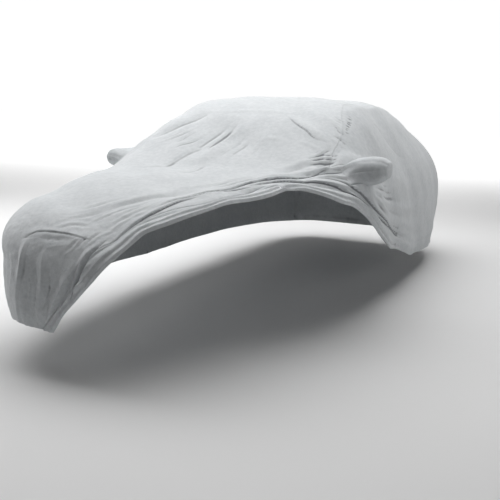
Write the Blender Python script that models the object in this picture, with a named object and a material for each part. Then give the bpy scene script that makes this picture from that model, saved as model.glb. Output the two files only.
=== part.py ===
"""Fitted cover of light grey non-woven cloth, hollow, in the shape in which it hangs.

Metres, +Z up. The front points to -Y and the left side to +X. The origin lies on the inside of the
roof's crest, from which the cover is held up. Its left front corner is pulled up and back, so there
the free hem climbs over the bonnet zone in long pleats and falls again along the side.
Heights in the tables are measured from the ground below the cover, which no piece touches.
"""
import bpy
import bmesh
import numpy as np
from mathutils import Matrix

# Driving sizes
SHEET = 0.0026              # thickness of the cloth
FOLD_DEPTH = 1.3            # on the heights in the fold tables
GAP = 0.0003                # between neighbouring pieces
HALF_WIDTH = 0.955          # at the height of the doors
NOSE_END = -3.03
TAIL_END = 2.28
FRONT_HEM = 0.250
REAR_HEM = 0.175

# The held-out form: how square its plan and its upper edge are, and where it draws in
PLAN_POWER = 4.9
EDGE_POWER = 8.0
CABIN_POWER = 8.0
CROWN_DROP = 0.035          # fall of the panels from the middle line to CROWN_REACH
CROWN_REACH = 0.80
LOW_HEIGHT = 0.78           # below this the sides draw in, most at the front
LOW_RUN = 0.50
LOW_LIMIT = 1.3             # of LOW_RUN, below which they draw in no further
HIGH_HEIGHT = 0.60          # above this they lean in a little
HIGH_RUN = 0.60
FORWARD_FROM = -1.10        # the front's own draw starts here and is whole FORWARD_RUN further on
FORWARD_RUN = 1.60
FRONT_DRAW = 0.035
SIDE_DRAW = 0.008
END_DRAW = 0.010
SIDE_LEAN = 0.020
END_LEAN = 0.008
FRONT_ROUNDING = 0.9        # taken off PLAN_POWER in the rounder lower front corners
ROUNDING_RUN = 0.20
TUCK_HEIGHT = 0.38          # below this the elastic draws the hem inwards
TUCK_RUN = 0.16
TUCK_DEPTH = 0.020
SPINE_HEIGHT = 0.55         # of the line inside the form from which side points are cast
SPINE_CLEARANCE = 0.70      # from its ends to the form's ends

PROFILE = [
    # y, middle height, shoulder height, half width of the cabin
    (-3.10, 0.800, 0.800, 0.860),
    (-2.90, 0.860, 0.860, 0.860),
    (-2.60, 0.920, 0.900, 0.860),
    (-2.10, 0.990, 0.960, 0.860),
    (-1.65, 1.055, 1.000, 0.860),
    (-1.35, 1.165, 1.030, 0.880),
    (-1.00, 1.345, 1.040, 0.880),
    (-0.65, 1.460, 1.040, 0.850),
    (-0.25, 1.500, 1.040, 0.800),
    (0.20, 1.500, 1.050, 0.780),
    (0.65, 1.475, 1.055, 0.780),
    (1.05, 1.405, 1.055, 0.765),
    (1.45, 1.280, 1.055, 0.790),
    (1.80, 1.175, 1.050, 0.840),
    (2.30, 1.120, 1.030, 0.840),
]

# Cross rows of the top panel: up the nose, round its bend, along the top, round the tail and down.
# Girth is the length along the middle line from the front hem. Towards the sides the rows bow back
# from the nose and the tail, as the rounded ends do in plan.
NOSE_BEND = (-2.72, 0.62, 0.29)      # y and height of its centre, and radius
TAIL_BEND = (1.98, 0.85, 0.30)
NOSE_ROWS = 6
NOSE_BEND_ROWS = 7
TOP_ROWS = 58
TAIL_BEND_ROWS = 6
TAIL_ROWS = 7
SIDE_ROWS = 10              # cells from a side panel's seam to its hem
TOP_COLUMNS = 18            # cells across the top panel
BOW_POWER = 4.4
BOW_RUN = 0.90              # from a bend to where the rows run straight across
LEFT_CROWDING = 1.20        # draws the columns together towards the pleats

LEFT_SEAM = [
    # girth, x
    (0.00, -0.290), (0.10, -0.208), (0.20, -0.120), (0.30, -0.047), (0.37, -0.018), (0.44, 0.010),
    (0.50, 0.052), (0.55, 0.086), (0.62, 0.104), (0.72, 0.124), (0.82, 0.155), (0.95, 0.252),
    (1.13, 0.375), (1.30, 0.432), (1.52, 0.519), (1.70, 0.594), (1.82, 0.655), (1.97, 0.703),
    (2.09, 0.722), (2.20, 0.712), (2.28, 0.698), (2.40, 0.694), (2.53, 0.682), (2.66, 0.643),
    (2.80, 0.592), (3.04, 0.535), (3.60, 0.545), (4.20, 0.550), (4.65, 0.585), (5.05, 0.660),
    (5.40, 0.715), (5.75, 0.740), (6.60, 0.745),
]
RIGHT_SEAM = [
    # girth, x
    (0.00, -0.655), (0.37, -0.690), (0.60, -0.715), (0.85, -0.745), (1.40, -0.775), (1.90, -0.765),
    (2.09, -0.735), (2.28, -0.695), (2.53, -0.682), (2.66, -0.645), (2.80, -0.592), (3.04, -0.535),
    (3.60, -0.545), (4.20, -0.550), (4.65, -0.585), (5.05, -0.660), (5.40, -0.715), (5.75, -0.740),
    (6.60, -0.745),
]
LEFT_HEM = [
    # girth of the column that ends here, x, y, height
    (0.00, -0.231, -2.996, 0.238),
    (0.10, -0.150, -3.009, 0.345),
    (0.20, -0.062, -3.015, 0.440),
    (0.30, 0.022, -3.012, 0.530),
    (0.44, 0.088, -2.998, 0.610),
    (0.55, 0.152, -2.952, 0.698),
    (0.72, 0.215, -2.840, 0.785),
    (0.85, 0.272, -2.775, 0.817),
    (1.02, 0.372, -2.640, 0.864),
    (1.30, 0.505, -2.330, 0.928),
    (1.52, 0.612, -2.130, 0.946),
    (1.70, 0.668, -1.950, 0.968),
    (1.82, 0.748, -1.820, 0.960),
    (1.97, 0.842, -1.700, 0.918),
    (2.09, 0.893, -1.600, 0.876),
    (2.20, 0.915, -1.480, 0.846),
    (2.39, 0.942, -1.265, 0.766),
    (2.53, 0.950, -1.090, 0.684),
    (2.80, 0.953, -0.770, 0.538),
    (3.04, 0.952, -0.520, 0.438),
    (3.30, 0.951, -0.250, 0.388),
    (3.55, 0.949, 0.000, 0.326),
    (3.86, 0.946, 0.310, 0.252),
    (4.27, 0.943, 0.700, 0.214),
    (4.67, 0.930, 1.090, 0.186),
    (5.05, 0.905, 1.450, 0.168),
    (5.35, 0.878, 1.690, 0.168),
    (5.60, 0.820, 1.900, 0.172),
    (5.76, 0.745, 2.054, 0.175),
]
RIGHT_HEM = [
    # girth of the column that ends here, x, y, height
    (0.63, -0.655, -2.802, 0.250),
    (0.83, -0.755, -2.620, 0.251),
    (1.07, -0.828, -2.400, 0.253),
    (1.40, -0.885, -2.100, 0.258),
    (2.00, -0.935, -1.500, 0.250),
    (2.80, -0.950, -0.750, 0.238),
    (3.60, -0.950, 0.050, 0.246),
    (4.40, -0.940, 0.850, 0.232),
    (5.05, -0.905, 1.450, 0.206),
    (5.35, -0.878, 1.690, 0.190),
    (5.60, -0.820, 1.900, 0.180),
    (5.76, -0.745, 2.054, 0.175),
]
# Rows of a side panel between which its mirror pocket's mouth lies, and the shares of a column at
# which these rows lie
MOUTH_ROWS = (1, 4)
LEFT_SHARES = [
    # girth, upper share, lower share
    (0.00, 0.10, 0.40), (1.60, 0.12, 0.42), (2.28, 0.28, 0.62), (2.53, 0.36, 0.61),
    (3.20, 0.14, 0.40), (5.80, 0.12, 0.36),
]
RIGHT_SHARES = [
    # girth, upper share, lower share
    (0.60, 0.10, 0.36), (1.80, 0.11, 0.30), (2.20, 0.13, 0.26), (2.53, 0.22, 0.36),
    (3.20, 0.14, 0.38), (5.80, 0.12, 0.36),
]
# Shares of the stretch from the mouth to the hem, closer together near the hem
LOWER_SHARES = (0.28, 0.52, 0.72, 0.86, 0.95, 1.0)

# Offsets of the lifted edge's pleats, and how strongly each stretch shows them
PLEAT = [
    # distance from the free edge, offset outwards
    (0.000, -0.010), (0.014, 0.008), (0.034, 0.004), (0.052, 0.013), (0.078, 0.004),
    (0.100, -0.010), (0.140, 0.010), (0.200, 0.000), (0.300, 0.000),
]
PLEAT_STRENGTH = [
    # girth, share
    (0.00, 0.8), (0.60, 1.0), (1.80, 1.2), (2.60, 1.4), (3.30, 1.3), (4.20, 0.9), (5.00, 0.4), (5.80, 0.2),
]
SEAM_WINDOW = 0.22          # share of a column over which the pleats fade in from the seam
END_PULL = 6                # how closely a side panel's end edges keep their shape to themselves

# Folds. Height is outwards, a trough's is below 0; width is the distance to its 37 % line. A fold
# fades towards both ends of its route.
FADE_FLOOR = 0.02           # share of the route that its very ends count as
FADE_POWER = 0.5
TOP_FOLDS = [
    # name, height, width, route as (x, y)
    ("edge crease", -0.016, 0.024, ((0.10, -2.86), (0.16, -2.73), (0.26, -2.60), (0.38, -2.41),
                                    (0.52, -2.02), (0.60, -1.84), (0.68, -1.68))),
    ("bonnet crease", -0.015, 0.026, ((0.20, -2.44), (0.34, -2.20), (0.45, -1.93), (0.62, -1.65),
                                      (0.71, -1.46))),
    ("bonnet pleat", 0.014, 0.036, ((0.00, -2.74), (0.12, -2.58), (0.27, -2.38), (0.40, -2.10),
                                    (0.50, -1.80))),
    ("bonnet fold 1", -0.009, 0.045, ((-0.20, -2.68), (-0.03, -2.60), (0.10, -2.46), (0.22, -2.28),
                                      (0.30, -2.00))),
    ("bonnet fold 2", 0.010, 0.060, ((-0.42, -2.76), (-0.17, -2.66), (0.02, -2.46), (0.14, -2.18))),
    ("bonnet fold 3", 0.007, 0.080, ((-0.55, -2.30), (-0.30, -2.10), (-0.10, -1.80))),
    ("foot fold 1", 0.011, 0.034, ((0.44, -1.62), (0.55, -1.48), (0.64, -1.36), (0.70, -1.29))),
    ("foot fold 2", 0.010, 0.030, ((0.42, -1.86), (0.58, -1.62), (0.71, -1.42))),
    ("foot trough", -0.008, 0.030, ((0.46, -1.70), (0.60, -1.50), (0.71, -1.34))),
    ("screen fold 1", 0.013, 0.050, ((0.22, -0.86), (0.43, -1.06), (0.56, -1.14), (0.68, -1.19))),
    ("screen trough 1", -0.010, 0.045, ((0.26, -1.00), (0.44, -1.17), (0.60, -1.24))),
    ("screen fold 2", 0.010, 0.042, ((0.34, -0.78), (0.50, -0.90), (0.66, -0.96))),
    ("screen fold 3", -0.012, 0.050, ((-0.28, -1.73), (-0.20, -1.48), (-0.17, -1.28), (-0.06, -1.02))),
    ("screen fold 4", 0.010, 0.055, ((-0.16, -1.72), (-0.08, -1.48), (-0.04, -1.26), (0.06, -1.06))),
    ("screen fold 5", -0.009, 0.050, ((-0.02, -1.75), (0.03, -1.50), (0.09, -1.30))),
    ("screen fold 6", -0.012, 0.050, ((-0.68, -1.26), (-0.56, -1.18), (-0.48, -1.06), (-0.36, -0.90))),
    ("screen fold 7", 0.011, 0.055, ((-0.66, -1.12), (-0.54, -1.04), (-0.42, -0.88))),
    ("screen foot", -0.010, 0.090, ((-0.62, -1.55), (-0.30, -1.66), (0.10, -1.68), (0.45, -1.60))),
    ("roof sag", -0.006, 0.160, ((-0.30, 0.10), (0.00, 0.20), (0.30, 0.05))),
    ("roof fold", 0.006, 0.100, ((-0.45, -0.10), (0.00, -0.32), (0.42, -0.14))),
    ("rear fold 1", 0.012, 0.060, ((-0.55, 1.10), (-0.30, 1.40), (-0.05, 1.62))),
    ("rear fold 2", 0.012, 0.060, ((0.56, 1.05), (0.33, 1.36), (0.12, 1.60))),
    ("rear foot", -0.010, 0.090, ((-0.60, 1.66), (0.00, 1.74), (0.60, 1.66))),
    ("boot fold", 0.008, 0.070, ((-0.62, 1.90), (-0.10, 1.98), (0.50, 1.92))),
]
SIDE_FOLDS = [
    # name, side, height, width, route as (y, height above ground)
    ("door crease", 1, -0.018, 0.030, ((-1.57, 1.00), (-1.39, 0.96), (-1.27, 0.90), (-1.14, 0.83),
                                       (-0.91, 0.75), (-0.52, 0.60), (-0.10, 0.49))),
    ("door pleat", 1, 0.014, 0.032, ((-1.46, 1.03), (-1.27, 0.96), (-1.10, 0.88), (-0.86, 0.80),
                                     (-0.43, 0.66), (0.10, 0.52))),
    ("door pleat 2", 1, 0.012, 0.030, ((-1.50, 0.93), (-1.30, 0.87), (-1.05, 0.75), (-0.75, 0.62),
                                       (-0.40, 0.51), (0.10, 0.40))),
    ("swag 1", 1, 0.016, 0.050, ((-1.14, 0.93), (-0.86, 0.91), (-0.42, 0.87))),
    ("swag trough 1", 1, -0.014, 0.045, ((-1.10, 0.90), (-0.80, 0.84), (-0.28, 0.76), (0.20, 0.73))),
    ("swag 2", 1, 0.016, 0.055, ((-1.06, 0.86), (-0.70, 0.78), (-0.10, 0.69), (0.50, 0.66))),
    ("swag trough 2", 1, -0.012, 0.055, ((-0.72, 0.72), (-0.20, 0.61), (0.60, 0.55))),
    ("swag 3", 1, 0.014, 0.060, ((-0.44, 0.63), (0.14, 0.53), (0.84, 0.44), (1.40, 0.44))),
    ("swag 4", 1, 0.012, 0.050, ((-0.20, 0.46), (0.42, 0.34), (1.16, 0.28))),
    ("window fold 1", 1, -0.013, 0.060, ((-0.10, 1.34), (-0.08, 1.26), (0.00, 1.14), (0.30, 1.00))),
    ("window fold 2", 1, 0.012, 0.060, ((0.10, 1.36), (0.16, 1.24), (0.34, 1.08), (0.70, 0.94))),
    ("window fold 3", 1, -0.007, 0.070, ((0.58, 1.28), (0.68, 1.20), (0.90, 1.06))),
    ("window fold 4", 1, 0.012, 0.050, ((-0.62, 1.34), (-0.60, 1.20), (-0.66, 1.06))),
    ("tip fold", 1, 0.012, 0.050, ((-0.98, 1.04), (-0.46, 0.96), (0.00, 0.86), (0.60, 0.80))),
    ("quarter fold", 1, -0.010, 0.080, ((1.20, 1.16), (1.50, 0.90), (1.60, 0.60))),
    ("right swag 1", -1, 0.014, 0.070, ((-1.10, 0.96), (-0.50, 0.86), (0.40, 0.84))),
    ("right swag 2", -1, -0.012, 0.080, ((-1.20, 0.88), (-1.70, 0.62), (-2.10, 0.44))),
    ("right fold 1", -1, 0.012, 0.070, ((-1.05, 0.88), (-0.80, 0.60), (-0.70, 0.36))),
    ("right fold 2", -1, -0.012, 0.070, ((0.00, 1.32), (0.10, 1.10), (0.30, 0.86))),
    ("right fold 3", -1, 0.012, 0.080, ((0.50, 0.80), (0.60, 0.55), (0.55, 0.32))),
    ("right fold 4", -1, 0.012, 0.070, ((1.10, 1.22), (1.30, 0.96), (1.35, 0.60))),
    ("right fold 5", -1, 0.010, 0.060, ((-2.50, 0.74), (-2.40, 0.50), (-2.42, 0.30))),
    ("right fold 6", -1, -0.010, 0.060, ((-2.15, 0.80), (-2.05, 0.55), (-2.10, 0.32))),
]
FRONT_FOLDS = [
    # name, height, width, route as (x, height above ground)
    ("nose edge", 0.019, 0.032, ((-0.46, 0.70), (-0.36, 0.742), (-0.20, 0.745), (-0.04, 0.740))),
    ("nose trough", -0.016, 0.028, ((-0.42, 0.675), (-0.30, 0.655), (-0.10, 0.655))),
    ("corner edge", 0.024, 0.034, ((-0.43, 0.71), (-0.41, 0.60), (-0.42, 0.45), (-0.46, 0.26))),
    ("front fold 1", -0.012, 0.026, ((-0.34, 0.66), (-0.33, 0.52), (-0.37, 0.30))),
    ("front fold 2", 0.011, 0.022, ((-0.285, 0.68), (-0.262, 0.54), (-0.275, 0.42), (-0.31, 0.27))),
    ("front fold 3", -0.010, 0.024, ((-0.24, 0.63), (-0.22, 0.48), (-0.25, 0.36))),
    ("front fan 1", 0.012, 0.026, ((-0.06, 0.68), (-0.13, 0.54), (-0.20, 0.42), (-0.28, 0.30))),
    ("front fan 2", -0.010, 0.024, ((-0.03, 0.64), (-0.09, 0.53), (-0.16, 0.42), (-0.23, 0.33))),
    ("corner hollow", -0.008, 0.060, ((-0.56, 0.66), (-0.55, 0.45), (-0.58, 0.30))),
]
REAR_FOLDS = [
    # name, height, width, route as (x, height above ground)
    ("tail edge", 0.012, 0.050, ((-0.60, 0.98), (0.00, 1.00), (0.60, 0.98))),
    ("tail fold 1", -0.010, 0.060, ((-0.50, 0.90), (-0.46, 0.60), (-0.52, 0.34))),
    ("tail fold 2", 0.010, 0.060, ((-0.20, 0.86), (-0.14, 0.56), (-0.18, 0.32))),
    ("tail fold 3", -0.010, 0.060, ((0.22, 0.88), (0.18, 0.58), (0.24, 0.34))),
    ("tail fold 4", 0.010, 0.060, ((0.54, 0.88), (0.50, 0.60), (0.56, 0.34))),
]
# Slow unevenness of the whole cloth
SWELLS = [
    # height, length along x, along y, along z, phase
    (0.0050, 1.30, 0.90, 1.10, 0.3),
    (0.0035, 0.70, 0.62, 0.80, 1.9),
    (0.0022, 0.46, 0.38, 0.50, 4.2),
]
# Mirror pockets: sections from the mouth outwards
LEFT_POCKET = [
    # x, y of its middle, height of its middle, half length along y, half height
    (0.935, -1.195, 1.045, 0.128, 0.080),
    (0.990, -1.190, 1.048, 0.120, 0.078),
    (1.036, -1.185, 1.050, 0.104, 0.068),
    (1.060, -1.180, 1.052, 0.078, 0.046),
]
RIGHT_POCKET = [
    # x, y of its middle, height of its middle, half length along y, half height
    (-0.930, -1.185, 1.020, 0.118, 0.064),
    (-0.972, -1.182, 1.020, 0.112, 0.062),
    (-1.008, -1.180, 1.020, 0.098, 0.054),
    (-1.028, -1.178, 1.020, 0.074, 0.036),
]
POCKET_POWER = 3.4          # how square a pocket's section is
POCKET_MOUTH = (-1.36, -1.04)        # y of its mouth's ends on the panel
TIP_BULGE = 0.012
SEAT_GAP = 0.75 * GAP       # between a pocket and the edge of its mouth, on the pocket's side
MOUTH_PINCH = 0.004         # the pocket widens by this just outside its mouth

CLOTH_COLOURS = {
    # node: colour
    "top_panel": (0.56, 0.59, 0.60),
    "left_side_panel": (0.50, 0.53, 0.54),
    "right_side_panel": (0.50, 0.53, 0.54),
    "left_mirror_pocket": (0.45, 0.48, 0.49),
    "right_mirror_pocket": (0.45, 0.48, 0.49),
}
CLOTH_ROUGHNESS = 0.88
SHARP_ANGLE = np.radians(50)

RIM_ORDER = np.array((0.37, 1.0, 0.53))     # a direction that sorts a rim's corners alike on both sides


def smooth_column(rows, column):
    """A smooth curve through one column of a table over its first, without overshoot."""
    knots = np.array([row[0] for row in rows], float)
    values = np.array([row[column] for row in rows], float)
    steps = np.diff(knots)
    slopes = np.diff(values) / steps
    tangents = np.concatenate([slopes[:1], (slopes[:-1] + slopes[1:]) / 2, slopes[-1:]])
    turning = slopes[:-1] * slopes[1:] <= 0
    tangents[1:-1] = np.where(turning, 0, tangents[1:-1])
    limit = 3 * np.minimum(np.abs(slopes[:-1]), np.abs(slopes[1:]))
    tangents[1:-1] = np.clip(tangents[1:-1], -limit, limit)

    def value_at(x):
        x = np.clip(x, knots[0], knots[-1])
        k = np.clip(np.searchsorted(knots, x, side="right") - 1, 0, len(steps) - 1)
        t = (x - knots[k]) / steps[k]
        start = (1 + 2 * t) * (1 - t) ** 2 * values[k] + t * (1 - t) ** 2 * steps[k] * tangents[k]
        end = t**2 * (3 - 2 * t) * values[k + 1] - t**2 * (1 - t) * steps[k] * tangents[k + 1]
        return start + end

    return value_at


middle_height = smooth_column(PROFILE, 1)
shoulder_height = smooth_column(PROFILE, 2)
cabin_half = smooth_column(PROFILE, 3)


def plan_ratio(x, y, z):
    """1 on the form's outline in plan at height z, and less inside it."""
    forward = np.clip((FORWARD_FROM - y) / FORWARD_RUN, 0, 1)
    low = np.clip((LOW_HEIGHT - z) / LOW_RUN, 0, LOW_LIMIT) ** 2
    high = np.clip((z - HIGH_HEIGHT) / HIGH_RUN, 0, 1) ** 2
    power = PLAN_POWER - FRONT_ROUNDING * forward * np.clip((LOW_HEIGHT - z) / ROUNDING_RUN, 0, 1)
    width = HALF_WIDTH * (1 - FRONT_DRAW * low * forward - SIDE_DRAW * low - SIDE_LEAN * high)
    length = (TAIL_END - NOSE_END) / 2 * (1 - END_DRAW * low - END_LEAN * high)
    along = (y - (TAIL_END + NOSE_END) / 2) / length
    return (np.abs(x / width) ** power + np.abs(along) ** power) ** (1 / power)


def form_height(x, y):
    """Height of the form's top over (x, y), the cabin rising from the shoulders."""
    rise = 1 / (1 + (np.abs(x) / cabin_half(y)) ** CABIN_POWER)
    shoulder = shoulder_height(y)
    return shoulder + (middle_height(y) - shoulder) * rise - CROWN_DROP * (x / CROWN_REACH) ** 2


def form_value(points):
    """Below 0 inside the form that the cloth is stretched over, above 0 outside it."""
    x, y, z = points[..., 0], points[..., 1], points[..., 2]
    plan = plan_ratio(x, y, z)
    tall = np.maximum(z, 0) / form_height(x, y)
    return (plan**EDGE_POWER + tall**EDGE_POWER) ** (1 / EDGE_POWER) - 1


def cast(origins, directions, reach=4.0, halvings=44):
    """Where rays from inside the form leave it."""
    near = np.zeros(origins.shape[:-1])
    far = np.full(origins.shape[:-1], reach)
    for _ in range(halvings):
        middle = (near + far) / 2
        inside = form_value(origins + directions * middle[..., None]) < 0
        near = np.where(inside, middle, near)
        far = np.where(inside, far, middle)
    return origins + directions * near[..., None]


def form_normal(points, step=0.004):
    """Outward unit normals of the form, the same for every panel that shares a point."""
    gradient = np.stack([form_value(points + axis) - form_value(points - axis)
                         for axis in np.eye(3) * step], axis=-1)
    return gradient / np.linalg.norm(gradient, axis=-1, keepdims=True)


def blend(start, end, share):
    return start + (end - start) * share


def cast_from_spine(targets):
    """The form's surface behind targets, seen from a line along its inside."""
    spine = np.zeros_like(targets)
    spine[..., 1] = np.clip(targets[..., 1], NOSE_END + SPINE_CLEARANCE, TAIL_END - SPINE_CLEARANCE)
    spine[..., 2] = SPINE_HEIGHT
    return cast(spine, targets - spine, reach=6.0)


def middle_rows():
    """The top panel's cross rows as columns: anchor y, anchor height, casting angle, girth."""
    rows = []
    nose_y, nose_z, nose_radius = NOSE_BEND
    tail_y, tail_z, tail_radius = TAIL_BEND
    quarter = np.pi / 2
    for share in np.arange(NOSE_ROWS) / NOSE_ROWS:
        height = blend(FRONT_HEM, nose_z, share)
        rows.append((nose_y, height, 0.0, height - FRONT_HEM))
    girth = nose_z - FRONT_HEM
    for share in np.arange(NOSE_BEND_ROWS) / NOSE_BEND_ROWS:
        rows.append((nose_y, nose_z, quarter * share, girth + nose_radius * quarter * share))
    girth += nose_radius * quarter
    for share in np.arange(TOP_ROWS) / TOP_ROWS:
        y = blend(nose_y, tail_y, share)
        rows.append((y, blend(nose_z, tail_z, share), quarter, girth + y - nose_y))
    girth += tail_y - nose_y
    for share in np.arange(TAIL_BEND_ROWS) / TAIL_BEND_ROWS:
        rows.append((tail_y, tail_z, quarter * (1 + share), girth + tail_radius * quarter * share))
    girth += tail_radius * quarter
    for share in np.arange(TAIL_ROWS + 1) / TAIL_ROWS:
        height = blend(tail_z, REAR_HEM, share)
        rows.append((tail_y, height, 2 * quarter, girth + tail_z - height))
    return np.array(rows)


ROWS = middle_rows()
GIRTH = ROWS[:, 3]
LAST_ROW = len(ROWS) - 1


def bowed(y, x):
    """y of a cross row at x, bowed towards the middle of the length near either end."""
    squareness = (1 - (np.abs(x) / HALF_WIDTH) ** BOW_POWER) ** (1 / BOW_POWER)
    bow = (TAIL_END - NOSE_END) / 2 * (1 - squareness)
    from_nose = np.clip(1 - (y - NOSE_BEND[0]) / BOW_RUN, 0, 1) ** 2
    from_tail = np.clip(1 - (TAIL_BEND[0] - y) / BOW_RUN, 0, 1) ** 2
    return y + bow * (from_nose - from_tail)


def top_points(x):
    """Points of the top panel for x given as rows by columns."""
    y, height, angle = (np.broadcast_to(ROWS[:, column:column + 1], x.shape) for column in range(3))
    anchors = np.stack([x, bowed(y, x), height], axis=-1)
    return cast(anchors, np.stack([0 * x, -np.cos(angle), np.sin(angle)], axis=-1))


def fold_route(points, samples=10):
    """A smooth line through a fold's points, as samples and their share of its length."""
    points = np.array(points, float)
    padded = np.vstack([2 * points[0] - points[1], points, 2 * points[-1] - points[-2]])
    line = []
    for a, b, c, d in zip(padded, padded[1:], padded[2:], padded[3:]):
        for t in np.arange(samples) / samples:
            line.append(0.5 * (2 * b + (c - a) * t + (2 * a - 5 * b + 4 * c - d) * t**2
                               + (3 * b - a - 3 * c + d) * t**3))
    line.append(points[-1])
    line = np.array(line)
    travelled = np.concatenate([[0], np.cumsum(np.linalg.norm(np.diff(line, axis=0), axis=1))])
    return line, travelled / travelled[-1]


def all_folds():
    """Every fold of the tables with its route laid on the form: height, width, line, shares."""
    laid = []
    for name, height, width, route in TOP_FOLDS:
        origins = np.array([(x, y, SPINE_HEIGHT) for x, y in route])
        laid.append((height, width, cast(origins, np.array([(0.0, 0.0, 1.0)] * len(route)))))
    for name, side, height, width, route in SIDE_FOLDS:
        origins = np.array([(0.0, y, z) for y, z in route])
        laid.append((height, width, cast(origins, np.array([(float(side), 0.0, 0.0)] * len(route)))))
    for folds, y, way in ((FRONT_FOLDS, NOSE_BEND[0], -1.0), (REAR_FOLDS, TAIL_BEND[0], 1.0)):
        for name, height, width, route in folds:
            origins = np.array([(x, y, z) for x, z in route])
            laid.append((height, width, cast(origins, np.array([(0.0, way, 0.0)] * len(route)))))
    return [(height, width, *fold_route(line)) for height, width, line in laid]


FOLDS = all_folds()


def shared_offset(points):
    """How far the cloth stands off the form, the same for every panel that shares a point."""
    flat = points.reshape(-1, 3)
    offset = np.zeros(len(flat))
    for height, width, line, shares in FOLDS:
        apart = np.linalg.norm(flat[:, None, :] - line[None, :, :], axis=2)
        nearest = apart.argmin(axis=1)
        fade = np.sin(np.pi * np.clip(shares[nearest], FADE_FLOOR, 1 - FADE_FLOOR)) ** FADE_POWER
        offset += FOLD_DEPTH * height * fade * np.exp(-(apart.min(axis=1) / width) ** 2)
    for height, *lengths, phase in SWELLS:
        offset += height * np.sin(flat @ (2 * np.pi / np.array(lengths)) + phase)
    tuck = np.clip((TUCK_HEIGHT - flat[:, 2]) / TUCK_RUN, 0, 1)
    offset -= TUCK_DEPTH * tuck**2
    return offset.reshape(points.shape[:-1])


def ground_level():
    """Height of the ground in the part's own frame, whose origin is inside the roof's crest."""
    crest = cast(np.array((0.0, 0.0, SPINE_HEIGHT)), np.array((0.0, 0.0, 1.0)))
    return float(SHEET - crest[2] - shared_offset(crest))


GROUND = ground_level()


def side_points(seam, hem, first_edge, last_edge, shares):
    """A side panel's points, from its seam to its hem between its two end edges.

    seam and hem have a row for each column of the panel, and shares a row for each too. The end
    edges have a point for each share.
    """
    columns, rows = shares.shape
    across = blend(seam[:, None, :], hem[:, None, :], shares[:, :, None])
    run = (np.arange(columns) / (columns - 1))[:, None, None]
    start_change = (first_edge - across[0])[None, :, :] * (1 - run) ** END_PULL
    end_change = (last_edge - across[-1])[None, :, :] * run**END_PULL
    points = cast_from_spine(across + start_change + end_change)
    points[:, 0] = seam
    points[0] = first_edge
    points[-1] = last_edge
    return points


def column_shares(table, girth):
    """For each column the share of its length at which each row lies."""
    upper = smooth_column(table, 1)(girth)
    lower = smooth_column(table, 2)(girth)
    mouth = [blend(upper, lower, k / 3) for k in range(4)]
    below = [blend(lower, 1.0, share) for share in LOWER_SHARES]
    return np.stack([0 * upper, *mouth, *below], axis=1)


def hem_points(table, girth):
    targets = np.stack([smooth_column(table, column)(girth) for column in (1, 2, 3)], axis=1)
    return cast_from_spine(targets)


def pleat_offset(points, girth, shares):
    """The lifted edge's pleats, by distance from the free edge, none at the seam."""
    apart = np.linalg.norm(points - points[:, -1:, :], axis=2)
    strength = smooth_column(PLEAT_STRENGTH, 1)(girth)[:, None]
    window = np.clip(shares / SEAM_WINDOW, 0, 1)
    window = window**2 * (3 - 2 * window)
    return smooth_column(PLEAT, 1)(apart) * strength * window


def boundary_insets(points, normals, cells):
    """Moves for a panel's border points, GAP / 2 into the panel, with mitred corners."""
    directed = {(a, b) for cell in cells for a, b in zip(cell, cell[1:] + cell[:1])}
    border = [(a, b) for a, b in directed if (b, a) not in directed]
    after = dict(border)
    before = {b: a for a, b in border}
    moves = {}
    for here, ahead in after.items():
        behind = before[here]
        inward = []
        for start, end in ((behind, here), (here, ahead)):
            side = np.cross(normals[here], points[end] - points[start])
            inward.append(side / np.linalg.norm(side))
        both = inward[0] + inward[1]
        moves[here] = GAP / 2 * both / (1 + inward[0] @ inward[1])
    return moves, border


def sheet_object(name, outer, normals, cells, border):
    """A closed sheet: outer points, the same points SHEET further in, and a rim on every border."""
    inner = outer - normals * SHEET
    used = sorted({corner for cell in cells for corner in cell})
    mesh_maker = bmesh.new()
    outside = {k: mesh_maker.verts.new(outer[k]) for k in used}
    inside = {k: mesh_maker.verts.new(inner[k]) for k in used}
    for a, b, c, d in cells:
        if np.linalg.norm(outer[a] - outer[c]) <= np.linalg.norm(outer[b] - outer[d]):
            triangles = ((a, b, c), (a, c, d))
        else:
            triangles = ((a, b, d), (b, c, d))
        for corners in triangles:
            mesh_maker.faces.new([outside[k] for k in corners])
            mesh_maker.faces.new([inside[k] for k in reversed(corners)])
    for a, b in border:
        if outer[a] @ RIM_ORDER < outer[b] @ RIM_ORDER:
            rims = ((outside[b], outside[a], inside[b]), (outside[a], inside[a], inside[b]))
        else:
            rims = ((outside[b], outside[a], inside[a]), (outside[b], inside[a], inside[b]))
        for corners in rims:
            mesh_maker.faces.new(corners)
    mesh = bpy.data.meshes.new(name)
    mesh_maker.to_mesh(mesh)
    mesh_maker.free()
    mesh.transform(Matrix.Translation((0.0, 0.0, GROUND)))
    mesh.shade_smooth()
    mesh.set_sharp_from_angle(angle=SHARP_ANGLE)
    made = bpy.data.objects.new(name, mesh)
    bpy.context.scene.collection.objects.link(made)
    mesh.materials.append(cloth_material(name))
    return made


def cloth_material(name):
    material = bpy.data.materials.new(name + "_cloth")
    material.use_nodes = True
    shader = material.node_tree.nodes["Principled BSDF"]
    shader.inputs["Base Color"].default_value = (*CLOTH_COLOURS[name], 1.0)
    shader.inputs["Roughness"].default_value = CLOTH_ROUGHNESS
    shader.inputs["Metallic"].default_value = 0.0
    return material


def grid_cells(rows, columns, flipped, hole=None):
    """Corner numbers of a grid's cells, turned to face outwards, without those in the hole."""
    cells = []
    for i in range(rows):
        for j in range(columns):
            if hole and hole[0] <= i < hole[1] and hole[2] <= j < hole[3]:
                continue
            a = i * (columns + 1) + j
            b = a + columns + 1
            cells.append((a, a + 1, b + 1, b) if flipped else (a, b, b + 1, a + 1))
    return cells


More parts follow.
